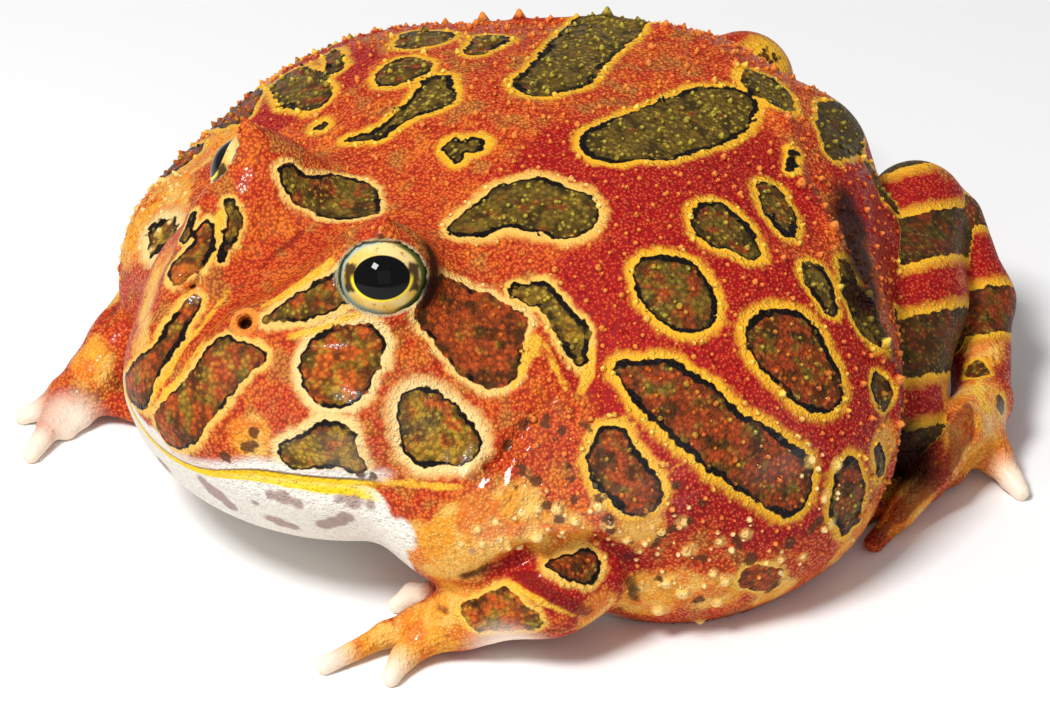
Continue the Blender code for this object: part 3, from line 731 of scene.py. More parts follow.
CHIN_SPOTS = [
    (-3, -56, 17, 0.5), (-1.5, -56, 16.5, 0.5), (9, -56.5, 20, 0.8), (10, -56, 19, 1.0),
    (11, -55.5, 18.5, 1.0), (12.5, -54.5, 17, 0.8), (21, -53, 22.5, 0.5), (22.5, -52, 22.5, 0.7),
    (24.5, -51, 22, 0.5), (18.5, -51.5, 17, 0.4), (20, -51, 16.5, 0.7), (21.5, -49.5, 16, 0.4),
    (26, -47, 18, 0.8), (28, -46.5, 19, 1.0), (29.5, -46, 20.5, 0.6), (29.5, -47, 24, 0.4),
    (31, -45.5, 23.5, 0.6), (33, -44, 23.5, 0.3), (18, -53.5, 20, 0.0), (40.5, -41.5, 20.5, -0.2),
    (47.5, -37, 20.5, 0.0),
]
# Where the hide is wettest
WET = [
    (50, -23.5, 32, 4.0), (54, -21, 29, 4.0), (51.5, -28, 28, 4.0), (48, -33, 26, 3.0),
    (20, -50.5, 36, 3.0), (33, -37, 38, 3.0), (12, -53, 38, 2.0), (58, -13, 30, 4.0), (55, 56, 12, 2.5),
    (62, 5, 30, 4.0), (30, -46, 32, 2.0),
]
# Islands whose black edge is broken or faint; all others have a full one
FAINT = {
    "snout_left": 0.55, "snout_right": 0.6, "behind_eye": 0.35, "forearm_b": 0.25, "flank_rear": 0.5,
    "flank_low": 0.2, "far_a": 0.45, "far_b": 0.35, "far_c": 0.45, "far_d": 0.4, "far_e": 0.3, "rump": 0.3,
    "hip": 0.2, "back_top": 0.6, "fold_a": 0.5, "fold_b": 0.4, "fold_c": 0.4, "fold_d": 0.4,
    "nape_band": 0.6, "shoulder": 0.7, "right_face": 0.6, "spine_b": 0.8, "right_brow": 0.6,
    "under_eye": 0.55, "lip": 0.6, "nostril_eye": 0.6, "cheek": 0.8, "between_eyes": 0.6, "flank_long": 0.8,
    "flank_b": 0.8, "tarsus_patch": 0.0, "tarsus_spot": 0.2,
}

# Cream-coloured warts (x, y, z, size), low on both flanks and on the pouch, and more on the right shoulder
CREAM_WARTS = [
    (58, -21, 24, 1.0), (59, -18.5, 20.5, 1.1), (61, -14, 21.5, 1.0), (63, -11.5, 23, 0.9),
    (63, -10, 17.5, 1.1), (61, -14, 17.5, 0.6), (59.5, -16.5, 18, 0.6), (66.5, -2.5, 19, 0.9),
    (65, -6, 18.5, 0.8), (60.5, -12.5, 12, 1.2), (62, -10, 10, 1.4), (59, -12, 6, 1.4),
    (64.5, -5.5, 7, 1.2), (65, -7, 13, 0.9), (65.5, -5, 11.5, 1.1), (68, 3, 13, 0.8), (67.5, 0.5, 13, 0.6),
    (68.5, 7, 12, 0.8), (67.5, 4.5, 8.5, 0.8), (68.5, 12, 16, 0.8), (67.5, 13.5, 25, 1.0),
    (66.5, 9, 27, 0.9), (68, 11, 21, 0.9), (52, -29, 22.5, 1.3), (50.5, -30, 26, 1.0),
    (51.5, -28.5, 26.5, 0.8), (53.5, -26.5, 26.5, 1.1), (55, -24.5, 25, 1.0), (57, -22, 27, 1.0),
    (51.5, -30.5, 19, 0.9), (49.5, -33, 22, 0.8), (48.5, -35.5, 21.5, 0.8), (54, -26.5, 21, 0.8),
    (47.5, -36, 24, 0.7), (46, -38, 21.5, 0.7), (48.5, -34, 25, 0.7), (50, -32.5, 20.5, 0.7),
    (59.5, -5, 1.5, 1.0), (58.5, -15, 10.5, 0.8), (67, 17.5, 10, 0.8),
]
FAR_WARTS = [
    (-47.5, -22, 33.5, 0.6), (-45, -25.5, 33.5, 0.7), (-43.5, -28.5, 32.5, 0.8), (-38.5, -27, 36, 0.6),
    (-44, -30.5, 31, 0.7), (-38, -32.5, 31.5, 0.7), (-42, -32.5, 30.5, 0.6), (-36.5, -35, 30, 0.6),
    (-40, -34.5, 29, 0.7), (-37, -31, 33.5, 0.6), (-49, -27, 30, 0.6), (-52, -22, 31, 0.7),
]
both_sides = on_side(CREAM_WARTS, 1) + on_side(CREAM_WARTS, -1) + FAR_WARTS


def glows(p, points, reach):
    """How strongly each place is covered by round spots that fade evenly over a reach."""
    cover = np.zeros_like(p[0])
    for x, y, z, radius in points:
        cover = np.maximum(cover, np.clip(1 - (far_from(p, x, y, z) - radius) / reach, 0, 1))
    return cover


def spots(p, points, reach):
    """The same, eased at both ends."""
    cover = glows(p, points, reach)
    return cover * cover * (3 - 2 * cover)


def spot_distance(p, points):
    """How far each place is from the nearest of some round spots."""
    away = np.full_like(p[0], GROUND_REACH)
    for x, y, z, radius in points:
        away = np.minimum(away, far_from(p, x, y, z) - radius)
    return away


def line_distance(p, lists):
    """How far each place is from the nearest of some lines."""
    away = np.full_like(p[0], GROUND_REACH)
    for points in lists:
        away = np.minimum(away, limb(p, points, 0.6))
    return away


def markings(p):
    """Everything that the paint needs to know about each place on the skin."""
    found = {name: np.full_like(p[0], start) for name, start in (
        ("island", GROUND_REACH), ("rim", GROUND_REACH), ("tint", 0), ("bold", 1), ("cream", 0), ("glow", 0))}

    def lay(away, russet, edge, look):
        """Lays one island: its own numbers wherever it is the nearest."""
        near = away < found["island"]
        found["tint"] = np.where(near, russet, found["tint"])
        found["bold"] = np.where(near, edge, found["bold"])
        found["glow"] = np.where(near, look[2], found["glow"])
        found["island"] = np.minimum(found["island"], away)
        found["cream"] = np.where(away - look[0] < found["rim"], look[1], found["cream"])
        found["rim"] = np.minimum(found["rim"], away - look[0])

    for name, (russet, points) in ISLANDS.items():
        for sign in (1, -1) if name in MIRRORED else (1,):
            turned = on_side(points, sign)
            if len(turned) == 1:
                turned.append((turned[0][0] + 0.1, *turned[0][1:]))
            lay(limb(p, turned, 0.6), russet, FAINT.get(name, 1.0), LOOKS.get(name, PLAIN_LOOK))
    whole = {name + side: (branches(p, points[side]) if inner is None else limb(p, points[side], inner))
             for side in SIDES for name, points, inner, outer in LIMBS}
    rest = trunk(p)
    for name, way, bands, russet, look in RINGS:
        for side, sign in SIDES.items():
            run = sign * p[0] * way[0] + p[1] * way[1] + p[2] * way[2]
            mine = whole[name + side]
            for other in ("shank_", "tarsus_", "foot_", "thigh_"):
                if other != name:
                    mine = np.maximum(mine, mine + 2.0 * (mine - whole[other + side]))
            mine = np.maximum(mine, mine + 2.0 * (mine - rest))
            for middle, half in bands:
                away = np.maximum(np.abs(run - middle) - half, (mine - 2.5) * BAND_FADE)
                lay(away, russet, BAND_BORDER, look)
    bone = skull(p)
    chin = jaw(p)
    gape = mouth(p)
    near_mouth = np.clip((1.6 - np.minimum(bone, chin)) / 1.2, 0, 1) * np.clip((1.0 - neck(p)) / 2.0, 0, 1)
    limbs_away = np.minimum.reduce([field for name, field in whole.items() if not name.startswith("horn_")])
    low = np.clip((6.0 - p[2]) / 4.0, 0, 1) * np.clip((56.0 - np.abs(p[0])) / 10.0, 0, 1)
    low = low * np.clip(limbs_away - 1, 0, 1)
    throat = np.clip(-gape / 1.5, 0, 1) * np.clip((1.6 - chin) / 1.2, 0, 1)
    lid = np.full_like(p[0], GROUND_REACH)
    for side in SIDES:
        along, across, up, out = eye_frame(p, side)
        rim = np.maximum(lid_oval(across, up), out - EYE_RADIUS - 1)
        lid = np.minimum(lid, np.where((along > 0) & (out < EYE_RADIUS + 3), rim, GROUND_REACH))
    lip_reach = 0.50 + 0.75 * np.clip((p[1] + 58) / 20, 0, 1)
    return {
        **found,
        "pale": glows(p, PALE, 7.0),
        "groove": line_distance(p, GROOVES),
        "seam_shade": line_distance(p, [on_side(points, sign) for points in SHADED_SEAMS for sign in SIDES.values()]),
        "wet": spots(p, WET, 5.0),
        "lines": line_distance(p, LINES),
        "gold": spots(p, GOLD, 6.0),
        "white": np.clip(spots(p, WHITE, 4.0) + low + throat, 0, 1),
        "crimson": spots(p, CRIMSON, 9.0),
        "shade": spots(p, SHADE, 4.0),
        "speck": FLECK_REACH - np.minimum(spot_distance(p, DARK_SPOTS), 3.0),
        "chin": CHIN_REACH - np.minimum(spot_distance(p, CHIN_SPOTS), 3.0),
        "lip": np.clip(np.where(gape < 0, gape / lip_reach, gape), -8, 8),
        "mouth": near_mouth,
        "lid": lid,
        "back": np.clip((far_from(p, *FACE_MIDDLE) - FACE_RADIUS) / FACE_FADE, 0, 1),
        "milk": WART_REACH - np.minimum(spot_distance(p, both_sides), 3.0),
    }


def add_number(mesh, name, values):
    """Writes one number for each point of a mesh."""
    mesh.attributes.new(name, "FLOAT", "POINT").data.foreach_set("value", np.asarray(values, np.float32))


def paint_guide(mesh):
    """Writes the markings on a mesh."""
    for name, values in markings(list(places(mesh))).items():
        add_number(mesh, name, values)


paint_guide(skin_mesh)


class Flow:
    """A value on its way through a material's nodes; arithmetic on it adds the nodes."""

    def __init__(self, tree, socket=None):
        self.tree = tree
        self.socket = socket

    def node(self, kind, inputs=(), out=0, **settings):
        """A new node with its settings and inputs, and one of its outputs."""
        made = self.tree.nodes.new("ShaderNode" + kind)
        for key, value in settings.items():
            setattr(made, key, value)
        self.feed(made, inputs)
        return Flow(self.tree, made.outputs[out])

    def feed(self, node, inputs):
        """Sets a node's inputs to plain values, or links them to values on their way."""
        for key, value in dict(inputs).items():
            if isinstance(value, Flow):
                self.tree.links.new(value.socket, node.inputs[key])
            elif isinstance(value, tuple) and len(value) == 3 and node.inputs[key].type == "RGBA":
                node.inputs[key].default_value = (*value, 1)
            else:
                node.inputs[key].default_value = value

    def math(self, operation, *values):
        return self.node("Math", enumerate(values), operation=operation)

    def __add__(self, other):
        return self.math("ADD", self, other)

    def __radd__(self, other):
        return self.math("ADD", other, self)

    def __sub__(self, other):
        return self.math("SUBTRACT", self, other)

    def __rsub__(self, other):
        return self.math("SUBTRACT", other, self)

    def __mul__(self, other):
        return self.math("MULTIPLY", self, other)

    def rise(self, low, high):
        """0 below low and 1 above high, eased between; the other way round where low is above high."""
        return self.node("MapRange", {0: self, 1: low, 2: high}, interpolation_type="SMOOTHSTEP")

    def mix(self, first, second):
        """This much of the second colour over the first."""
        return self.node("Mix", {0: self, 6: first, 7: second}, out=2, data_type="RGBA")


def new_finish(name):
    """A new material, its shader, a start for its flow and each place on the mesh, in metres."""
    made = bpy.data.materials.new(name)
    made.use_nodes = True
    flow = Flow(made.node_tree)
    return made, made.node_tree.nodes["Principled BSDF"], flow, flow.node("TexCoord", out="Object")


# The hide's colours
RED = (0.47, 0.011, 0.010)
DEEP_RED = (0.17, 0.006, 0.006)
VERMILION = (0.64, 0.062, 0.012)
ORANGE = (0.80, 0.16, 0.016)
BRIGHT_ORANGE = (0.95, 0.30, 0.05)
OCHRE = (0.50, 0.20, 0.035)
TAN = (0.74, 0.30, 0.055)
MANGO = (0.90, 0.36, 0.030)
BUTTER = (0.97, 0.62, 0.16)
LEMON = (1.0, 0.66, 0.006)
RIM_ORANGE = (0.64, 0.20, 0.016)
RIM_GOLD = (0.86, 0.43, 0.020)
BRIGHT_GOLD = (1.0, 0.68, 0.10)
SAND = (0.74, 0.34, 0.09)
BISCUIT = (0.92, 0.62, 0.24)
CREAM = (0.98, 0.82, 0.46)
IVORY = (0.88, 0.82, 0.72)
FINGER_TIP = (0.95, 0.80, 0.64)
OLIVE = (0.18, 0.108, 0.013)
FACE_OLIVE = (0.46, 0.25, 0.022)
DARK_OLIVE = (0.032, 0.018, 0.004)
MOSS = (0.55, 0.44, 0.05)
BROWN = (0.10, 0.030, 0.008)
RUSSET = (0.34, 0.046, 0.010)
FACE_RUSSET = (0.62, 0.105, 0.014)
BLACK = (0.006, 0.003, 0.002)
MAUVE = (0.34, 0.20, 0.18)
# Near-black painted shade, for the nostrils, the seams and the shadowed hollows
PAINTED_SHADE = (0.016, 0.003, 0.002)
LID_RIM = (0.50, 0.50, 0.30)
NOSTRIL_RING = (0.86, 0.27, 0.04)
PEARL = (0.98, 0.76, 0.34)

# How strongly the orange ring shows about each nostril
NOSTRIL_SHARES = {"left": 0.9, "right": 0.25}

# Cells of the noise to a metre, and the bump's heights in metres
GRANULE_SCALE = 1900
KNOB_SCALE = 820
PEBBLE_SCALE = 1150
LEATHER_SCALE = 620
GRANULE_HEIGHT = 0.00021
KNOB_HEIGHT = 0.00030
LEATHER_HEIGHT = 0.00075
LEATHER_LEAST = 0.00014
GRAIN_HEIGHT = 0.00010
NOSTRIL_RISE = 0.00025
NOSTRIL_DEPTH = 0.0005


def hide_finish(name):
    """The wet, granular hide, painted from the numbers on the mesh."""
    made, shader, flow, spot = new_finish(name)

    def guide_of(name):
        return flow.node("Attribute", out="Fac", attribute_name=name, attribute_type="GEOMETRY")

    def cloud(scale, detail=2.0, rough=0.5):
        return flow.node("TexNoise", {"Vector": spot, "Scale": scale, "Detail": detail, "Roughness": rough})

    def cells(scale):
        return flow.node("TexVoronoi", {"Vector": spot, "Scale": scale, "Randomness": 0.9}, feature="F1")

    fine = cells(GRANULE_SCALE)
    coarse = cells(KNOB_SCALE)
    pebbles = cells(PEBBLE_SCALE)
    broad = cloud(110)
    medium = cloud(330, 3)
    small = cloud(1300, 3)
    patches = cloud(210, 2)
    back = guide_of("back")
    face = 1 - back
    pale = guide_of("pale").rise(0.0, 0.85)
    tips = fine.rise(0.48, 0.12)
    pits = fine.rise(0.46, 0.64)
    peak = guide_of("peak").rise(0.15, 0.65)
    rough_edge = (medium - 0.5) + (coarse - 0.50) * 0.7
    edge = guide_of("island") + rough_edge

    # The nostrils: an orange ring about each hole, whose inside is painted near-black as shade further on
    hole, ring = 0.0, 0.0
    for side, share in NOSTRIL_SHARES.items():
        centre, way = nostril(SIDES[side])
        away = flow.node("VectorMath", {0: spot, 1: tuple(c * MM for c in centre)}, operation="SUBTRACT")
        aside = flow.node("VectorMath", {0: away, 1: way}, operation="CROSS_PRODUCT")
        apart = flow.node("VectorMath", {0: aside}, out="Value", operation="LENGTH") * PER_MM
        near = flow.node("VectorMath", {0: away}, out="Value", operation="LENGTH") * PER_MM
        near = near.rise(4.4, 3.6)
        hole = apart.rise(1.10, 0.65) * near + hole
        ring = apart.rise(2.60, 2.00) * near * share + ring

    # Red ground, ochre and orange on the head and along the spine, each granule with a lighter tip
    crimson = (guide_of("crimson") + (broad - 0.5) * 1.6 - face * 0.12).rise(0.15, 0.70)
    calm = 1 - crimson
    ground = crimson.mix(VERMILION, RED)
    ground = (cloud(260, 4).rise(0.48, 0.66) * calm).mix(ground, ORANGE)
    ground = (patches.rise(0.52, 0.66) * calm * 0.8).mix(ground, OCHRE)
    ground = (cloud(300, 3, 0.6).rise(0.50, 0.64) * face * calm * 0.30).mix(ground, TAN)
    gold = (guide_of("gold") + (medium - 0.5) * 0.9).rise(0.25, 0.75)
    ground = gold.mix(ground, MANGO)
    ground = (patches.rise(0.48, 0.60) * gold * 0.55).mix(ground, BUTTER)
    ground = (cloud(160, 2).rise(0.50, 0.60) * gold * 0.75).mix(ground, ORANGE)
    white = (guide_of("white") + (medium - 0.5) * 0.5).rise(0.30, 0.70)
    ground = white.mix(ground, IVORY)
    # The granules' tips lighter: partly their own orange, partly painted highlight
    lit = tips * (1 - white) * (1 - gold) * (0.62 - crimson * 0.25) * (1 - face * 0.30)
    ground = lit.mix(ground, BRIGHT_ORANGE)
    ground = (tips * gold * 0.5).mix(ground, BUTTER)
    ground = (pits * (1 - white) * (1 - gold * 0.6) * 0.65).mix(ground, DEEP_RED)
    ground = (peak * (1 - white) * 0.85).mix(ground, BRIGHT_ORANGE)

    # Rims, brightest beside the dark: cream and wide on the cheeks, golden and narrow on the flanks
    cream = guide_of("cream")
    inner = edge.rise(1.7, 0.3)
    rim_colour = inner.mix(cream.mix(RIM_ORANGE, SAND), cream.mix(RIM_GOLD, BISCUIT))
    beads = cream.mix(BRIGHT_GOLD, CREAM)
    rim_colour = (tips * (0.35 + inner * 0.5)).mix(rim_colour, beads)
    rim_colour = peak.mix(rim_colour, beads)
    rim_edge = guide_of("rim") + rough_edge * 1.3
    rim = rim_edge.rise(0.55, -0.45)
    skin_colour = (rim * (1 - white * 0.7)).mix(ground, rim_colour)
    lines = (guide_of("lines") + (medium - 0.5) * 0.5).rise(0.35, -0.15)
    line_colour = (tips * 0.5 + pits * -0.6 + 0.4).mix(RIM_GOLD, BRIGHT_GOLD)
    skin_colour = (lines * 0.85).mix(skin_colour, line_colour)
    # Partly painted shade: the deep red lines also darken the crease between the eyes and the long toe
    groove = (guide_of("groove") + (medium - 0.5) * 0.8).rise(0.35, -0.35)
    skin_colour = (groove * 0.72).mix(skin_colour, DEEP_RED)

    # Islands, olive to russet, with yellow-green or orange granules and a black beaded edge
    tint = guide_of("tint")
    glow = guide_of("glow")
    bright = glow.rise(0.0, 1.0)
    dim = glow.rise(0.0, -1.0)
    inside = (cloud(430, 4) - 0.5) * 2.4
    flesh = (inside + tint).rise(0.25, 0.75)
    flesh = flesh.mix(bright.mix(OLIVE, FACE_OLIVE), bright.mix(RUSSET, FACE_RUSSET))
    flesh = (cloud(300, 3).rise(0.50, 0.36) * (0.80 - bright * 0.15)).mix(flesh, DARK_OLIVE)
    flesh = (edge.rise(-2.4, -0.4) * cloud(380, 3).rise(0.44, 0.58) * 0.75).mix(flesh, DARK_OLIVE)
    flesh = (pebbles.rise(0.42, 0.64) * 0.48).mix(flesh, DARK_OLIVE)
    grains = (inside * 0.7 + tint).rise(0.40, 0.95).mix(MOSS, ORANGE)
    scattered = cloud(190, 3).rise(0.36, 0.60)
    flesh = (pebbles.rise(0.42, 0.08) * scattered * (0.75 - tint * 0.3)).mix(flesh, grains)
    flesh = (dim * 0.78).mix(flesh, DARK_OLIVE)
    flesh = (peak * (0.8 - dim * 0.3)).mix(flesh, grains)
    covered = edge.rise(0.12, -0.08)
    skin_colour = covered.mix(skin_colour, flesh)
    thickness = 0.30 + cloud(150, 1).rise(0.38, 0.62) * (0.75 - face * 0.35)
    keep = (guide_of("bold") + (cloud(270, 2) - 0.5) * 1.6).rise(0.30, 0.55)
    border = covered * (edge + thickness).rise(-0.15, 0.15) * keep
    skin_colour = border.mix(skin_colour, BLACK)
    skin_colour = ring.mix(skin_colour, NOSTRIL_RING)

    # Lips: an ivory band above the mouth, a lemon band below it, a thin dark line between
    lip = guide_of("lip")
    mouth_share = guide_of("mouth")
    upper = (lip + (medium - 0.5) * 2.0).rise(2.9, 0.9) * lip.rise(-0.2, 0.1)
    upper = upper * edge.rise(-0.1, 0.3) * mouth_share
    skin_colour = upper.mix(skin_colour, IVORY)
    lower = lip.rise(0.1, -0.2) * (lip + (medium - 0.5) * 0.6).rise(-3.2, -2.6) * mouth_share
    skin_colour = lower.mix(skin_colour, LEMON)
    parting = lip.rise(-0.40, -0.1) * lip.rise(0.30, 0.1) * mouth_share
    skin_colour = (parting * 0.8).mix(skin_colour, BROWN)

    # The rims of the lids, pale beside the eye, the fingers' pale ends and the cream warts
    lid = guide_of("lid")
    skin_colour = (lid.rise(0.7, 0.3) * 0.7).mix(skin_colour, LID_RIM)
    skin_colour = pale.mix(skin_colour, FINGER_TIP)
    milk = guide_of("milk").rise(0.1, 0.6) * peak
    skin_colour = (milk * 0.85).mix(skin_colour, PEARL)
    halo = (guide_of("milk") + (small - 0.5) * 0.8).rise(1.6, 2.4)
    skin_colour = (halo * 0.55).mix(skin_colour, BUTTER)

    # Painted shade in the nostrils, the seams and the hollows; small flecks and the chin's mauve spots
    skin_colour = (hole * 0.94).mix(skin_colour, PAINTED_SHADE)
    # Painted shade along the seams, where the skin folds over itself
    seam_shade = (guide_of("seam_shade") + (medium - 0.5) * 0.5).rise(1.15, 0.45)
    skin_colour = (seam_shade * 0.85).mix(skin_colour, PAINTED_SHADE)
    flecks = (guide_of("speck") + (small - 0.5) * 0.9).rise(0.75, 1.1)
    skin_colour = (flecks * 0.9).mix(skin_colour, BROWN)
    chin = (guide_of("chin") + (medium - 0.5) * 1.2).rise(0.6, 1.3)
    skin_colour = (chin * 0.8).mix(skin_colour, MAUVE)
    # Painted shade in the hollows behind the eyes and about the hind legs
    shade = guide_of("shade")
    skin_colour = (shade * 0.95).mix(skin_colour, PAINTED_SHADE)

    # The moist gloss, strongest on the granules' tips and where the hide is wettest, and the relief
    rough = 0.52 - tips * 0.14 + (small - 0.5) * 0.2
    coat = (0.03 + tips * 0.45 + guide_of("wet") * 0.75) * (1 - shade)
    rugged = 1 - pale * 0.85
    granules = fine.rise(0.60, 0.0) * GRANULE_HEIGHT
    knobs = coarse.rise(0.5, 0.0) * (0.35 + back * 0.65) * KNOB_HEIGHT
    leather = cloud(LEATHER_SCALE, 4, 0.6) * (face * LEATHER_HEIGHT + LEATHER_LEAST)
    grain = (small - 0.5) * GRAIN_HEIGHT
    funnel = ring * NOSTRIL_RISE - hole * NOSTRIL_DEPTH
    height = (granules + knobs + leather + grain) * rugged + funnel
    bump = flow.node("Bump", {"Strength": 1.0, "Distance": 1.0, "Height": height}, out="Normal")
    flow.feed(shader, {
        "Base Color": skin_colour, "Roughness": rough, "Coat Weight": coat, "Coat Roughness": 0.10,
        "Specular IOR Level": 0.09, "Normal": bump,
    })
    return made


hide = hide_finish("hide")
skin_mesh.materials.clear()
skin_mesh.materials.append(hide)
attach(skin, "root")
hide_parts(*[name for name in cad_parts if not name.startswith("eye_")])

# The warts: small pointed tubercles all over the back and flanks, cream domes low on the flanks and
# thorny ones along the fold of the back. They are skin, so they take the same finish and paint.
WART_SIDES = 6
WART_PROFILE = [(0.98, -0.30), (0.74, 0.14), (0.30, 0.60)]
DOME_PROFILE = [(1.0, -0.30), (0.88, 0.20), (0.50, 0.52)]
THORN_PROFILE = [(1.0, -0.30), (0.62, 0.38), (0.22, 1.05)]
WART_SPACING = 0.0019
THORN_SPACING = 0.0050
WART_DENSITY = 400000

# How deep in the skin a placed wart's middle sits, in mm
SINK = 0.1
BROW_THORNS = [
    (17.3, -31.5, 57.7, 0.6), (19.1, -30.9, 57.9, 0.7), (15.6, -35, 54.7, 0.5), (14.1, -33.2, 55.3, 0.6),
    (20.2, -30.5, 57, 0.55), (10.3, -28.6, 54.1, 0.6), (7.2, -27.7, 51.7, 0.6), (12, -31, 54.5, 0.5),
]
THORN_SIZES = (0.9, 1.0, 1.2, 1.3, 1.3, 1.4, 1.3, 1.3, 1.1)


def wart_shape(name, profile):
    """One wart a metre wide, to be scaled: rings, a tip and a closed foot, with its height as a number."""
    turns = [2 * math.pi * k / WART_SIDES for k in range(WART_SIDES)]
    points = [(radius * math.cos(turn), radius * math.sin(turn), height)
              for radius, height in profile for turn in turns]
    rings = len(profile)
    faces = []
    for ring in range(rings - 1):
        for k in range(WART_SIDES):
            a, b = ring * WART_SIDES + k, ring * WART_SIDES + (k + 1) % WART_SIDES
            faces.append((a, b, b + WART_SIDES, a + WART_SIDES))
    tip = len(points)
    points.append((0, 0, profile[-1][1] + profile[-1][0] * 0.55))
    last = (rings - 1) * WART_SIDES
    faces += [(last + k, last + (k + 1) % WART_SIDES, tip) for k in range(WART_SIDES)]
    faces.append(tuple(reversed(range(WART_SIDES))))
    mesh = new_mesh(name, points, faces)
    mesh.polygons.foreach_set("use_smooth", [True] * len(faces))
    add_number(mesh, "peak", [max(z, 0.0) for x, y, z in points])
    return add_object(name, mesh)


def sprinkle(name, carrier, wart, scattered=False, spacing=WART_SPACING, least=1.0, most=1.0, seed=11):
    """A tree that sets warts on a carrier: scattered over its faces, or one on each of its points."""
    tree = bpy.data.node_groups.new(name, "GeometryNodeTree")
    interface = tree.interface
    interface.new_socket(name="Geometry", in_out="INPUT", socket_type="NodeSocketGeometry")
    sizes = {}
    for label in ("Spacing", "Size", "Least", "Most"):
        sizes[label] = interface.new_socket(name=label, in_out="INPUT", socket_type="NodeSocketFloat")
    interface.new_socket(name="Geometry", in_out="OUTPUT", socket_type="NodeSocketGeometry")
    made = {}

    def node(label, kind, **settings):
        made[label] = tree.nodes.new(kind)
        for key, value in settings.items():
            setattr(made[label], key, value)
        return made[label]

    def join(source, out, target, into):
        tree.links.new(made[source].outputs[out], made[target].inputs[into])

    node("in", "NodeGroupInput")
    node("out", "NodeGroupOutput")
    size = node("size", "GeometryNodeInputNamedAttribute", data_type="FLOAT")
    size.inputs["Name"].default_value = "wart_size"
    node("wart", "GeometryNodeObjectInfo").inputs["Object"].default_value = wart
    node("chance", "FunctionNodeRandomValue", data_type="FLOAT").inputs["Seed"].default_value = 7
    node("scale", "ShaderNodeMath", operation="MULTIPLY")
    node("scale_mm", "ShaderNodeMath", operation="MULTIPLY")
    node("set", "GeometryNodeInstanceOnPoints")
    node("real", "GeometryNodeRealizeInstances")
    node("paint", "GeometryNodeSetMaterial").inputs["Material"].default_value = hide
    if scattered:
        share = node("share", "GeometryNodeInputNamedAttribute", data_type="FLOAT")
        share.inputs["Name"].default_value = "wart_share"
        spread = node("spread", "GeometryNodeDistributePointsOnFaces", distribute_method="POISSON")
        spread.inputs["Density Max"].default_value = WART_DENSITY
        spread.inputs["Seed"].default_value = seed
        join("in", "Geometry", "spread", "Mesh")
        join("in", "Spacing", "spread", "Distance Min")
        join("share", "Attribute", "spread", "Density Factor")
        join("spread", "Points", "set", "Points")
        join("spread", "Rotation", "set", "Rotation")
    else:
        facing = node("facing", "GeometryNodeInputNamedAttribute", data_type="FLOAT_VECTOR")
        facing.inputs["Name"].default_value = "facing"
        node("turn", "FunctionNodeAlignRotationToVector", axis="Z")
        join("facing", "Attribute", "turn", "Vector")
        join("in", "Geometry", "set", "Points")
        join("turn", "Rotation", "set", "Rotation")
    join("in", "Least", "chance", 2)
    join("in", "Most", "chance", 3)
    join("chance", 1, "scale", 0)
    join("size", "Attribute", "scale", 1)
    join("scale", 0, "scale_mm", 0)
    join("in", "Size", "scale_mm", 1)
    join("scale_mm", 0, "set", "Scale")
    join("wart", "Geometry", "set", "Instance")
    join("set", "Instances", "real", "Geometry")
    join("real", "Geometry", "paint", "Geometry")
    join("paint", "Geometry", "out", "Geometry")
    modifier = carrier.modifiers.new(name, "NODES")
    modifier.node_group = tree
    for label, value in (("Spacing", spacing), ("Size", MM), ("Least", least), ("Most", most)):
        modifier[sizes[label].identifier] = value
    mesh = bpy.data.meshes.new_from_object(carrier.evaluated_get(bpy.context.evaluated_depsgraph_get()))
    carrier.modifiers.remove(modifier)
    mesh.name = name
    piece = add_object(name, mesh)
    if not mesh.materials:
        mesh.materials.append(hide)
    for old in ("wart_share", "wart_size"):
        if old in mesh.attributes:
            mesh.attributes.remove(mesh.attributes[old])
    paint_guide(mesh)
    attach(piece, "root")


where = places(skin_mesh)
outward = normals(skin_mesh)
behind_head = np.clip((neck(where) + 8) / 12, 0, 1)
high = np.clip((where[2] - 9) / 8, 0, 1)
on_trunk = np.clip((3.0 - trunk(where)) / 1.5, 0, 1)
add_number(skin_mesh, "wart_share", np.clip(behind_head * high * on_trunk, 0, 1))
add_number(skin_mesh, "wart_size", 0.35 + 0.35 * behind_head)
point = wart_shape("wart", WART_PROFILE)
dome = wart_shape("dome", DOME_PROFILE)
thorn = wart_shape("thorn", THORN_PROFILE)
sprinkle("back_warts", skin, point, scattered=True, least=0.55, most=1.1)
sprinkle("back_thorns", skin, thorn, scattered=True, spacing=THORN_SPACING, least=0.75, most=1.25, seed=5)


def carrier_of(name, marks):
    """Loose points on the skin nearest to the marks, each with its size and the way that it faces."""
    spots_on = []
    for x, y, z, size in marks:
        nearest = np.argmin(far_from(where, x, y, z))
        spots_on.append((where[:, nearest] - outward[:, nearest] * SINK, outward[:, nearest], size))
    mesh = new_mesh(name, [tuple(place * MM) for place, facing, size in spots_on], [])
    add_number(mesh, "wart_size", [size for place, facing, size in spots_on])
    ways = np.array([facing for place, facing, size in spots_on], np.float32)
    mesh.attributes.new("facing", "FLOAT_VECTOR", "POINT").data.foreach_set("vector", ways.ravel())
    return add_object(name, mesh)


flank_carrier = carrier_of("flank_carrier", both_sides)
sprinkle("flank_warts", flank_carrier, dome)
fold_marks = [(x, y, z + 1, size) for (x, y, z, radius), size in zip(FOLD, THORN_SIZES)]
thorn_marks = on_side(fold_marks, 1) + on_side(fold_marks, -1)
thorn_marks += on_side(BROW_THORNS, 1) + on_side(BROW_THORNS, -1)
fold_carrier = carrier_of("fold_carrier", thorn_marks)
sprinkle("fold_thorns", fold_carrier, thorn)
for helper in (point, dome, thorn, flank_carrier, fold_carrier):
    bpy.data.objects.remove(helper)

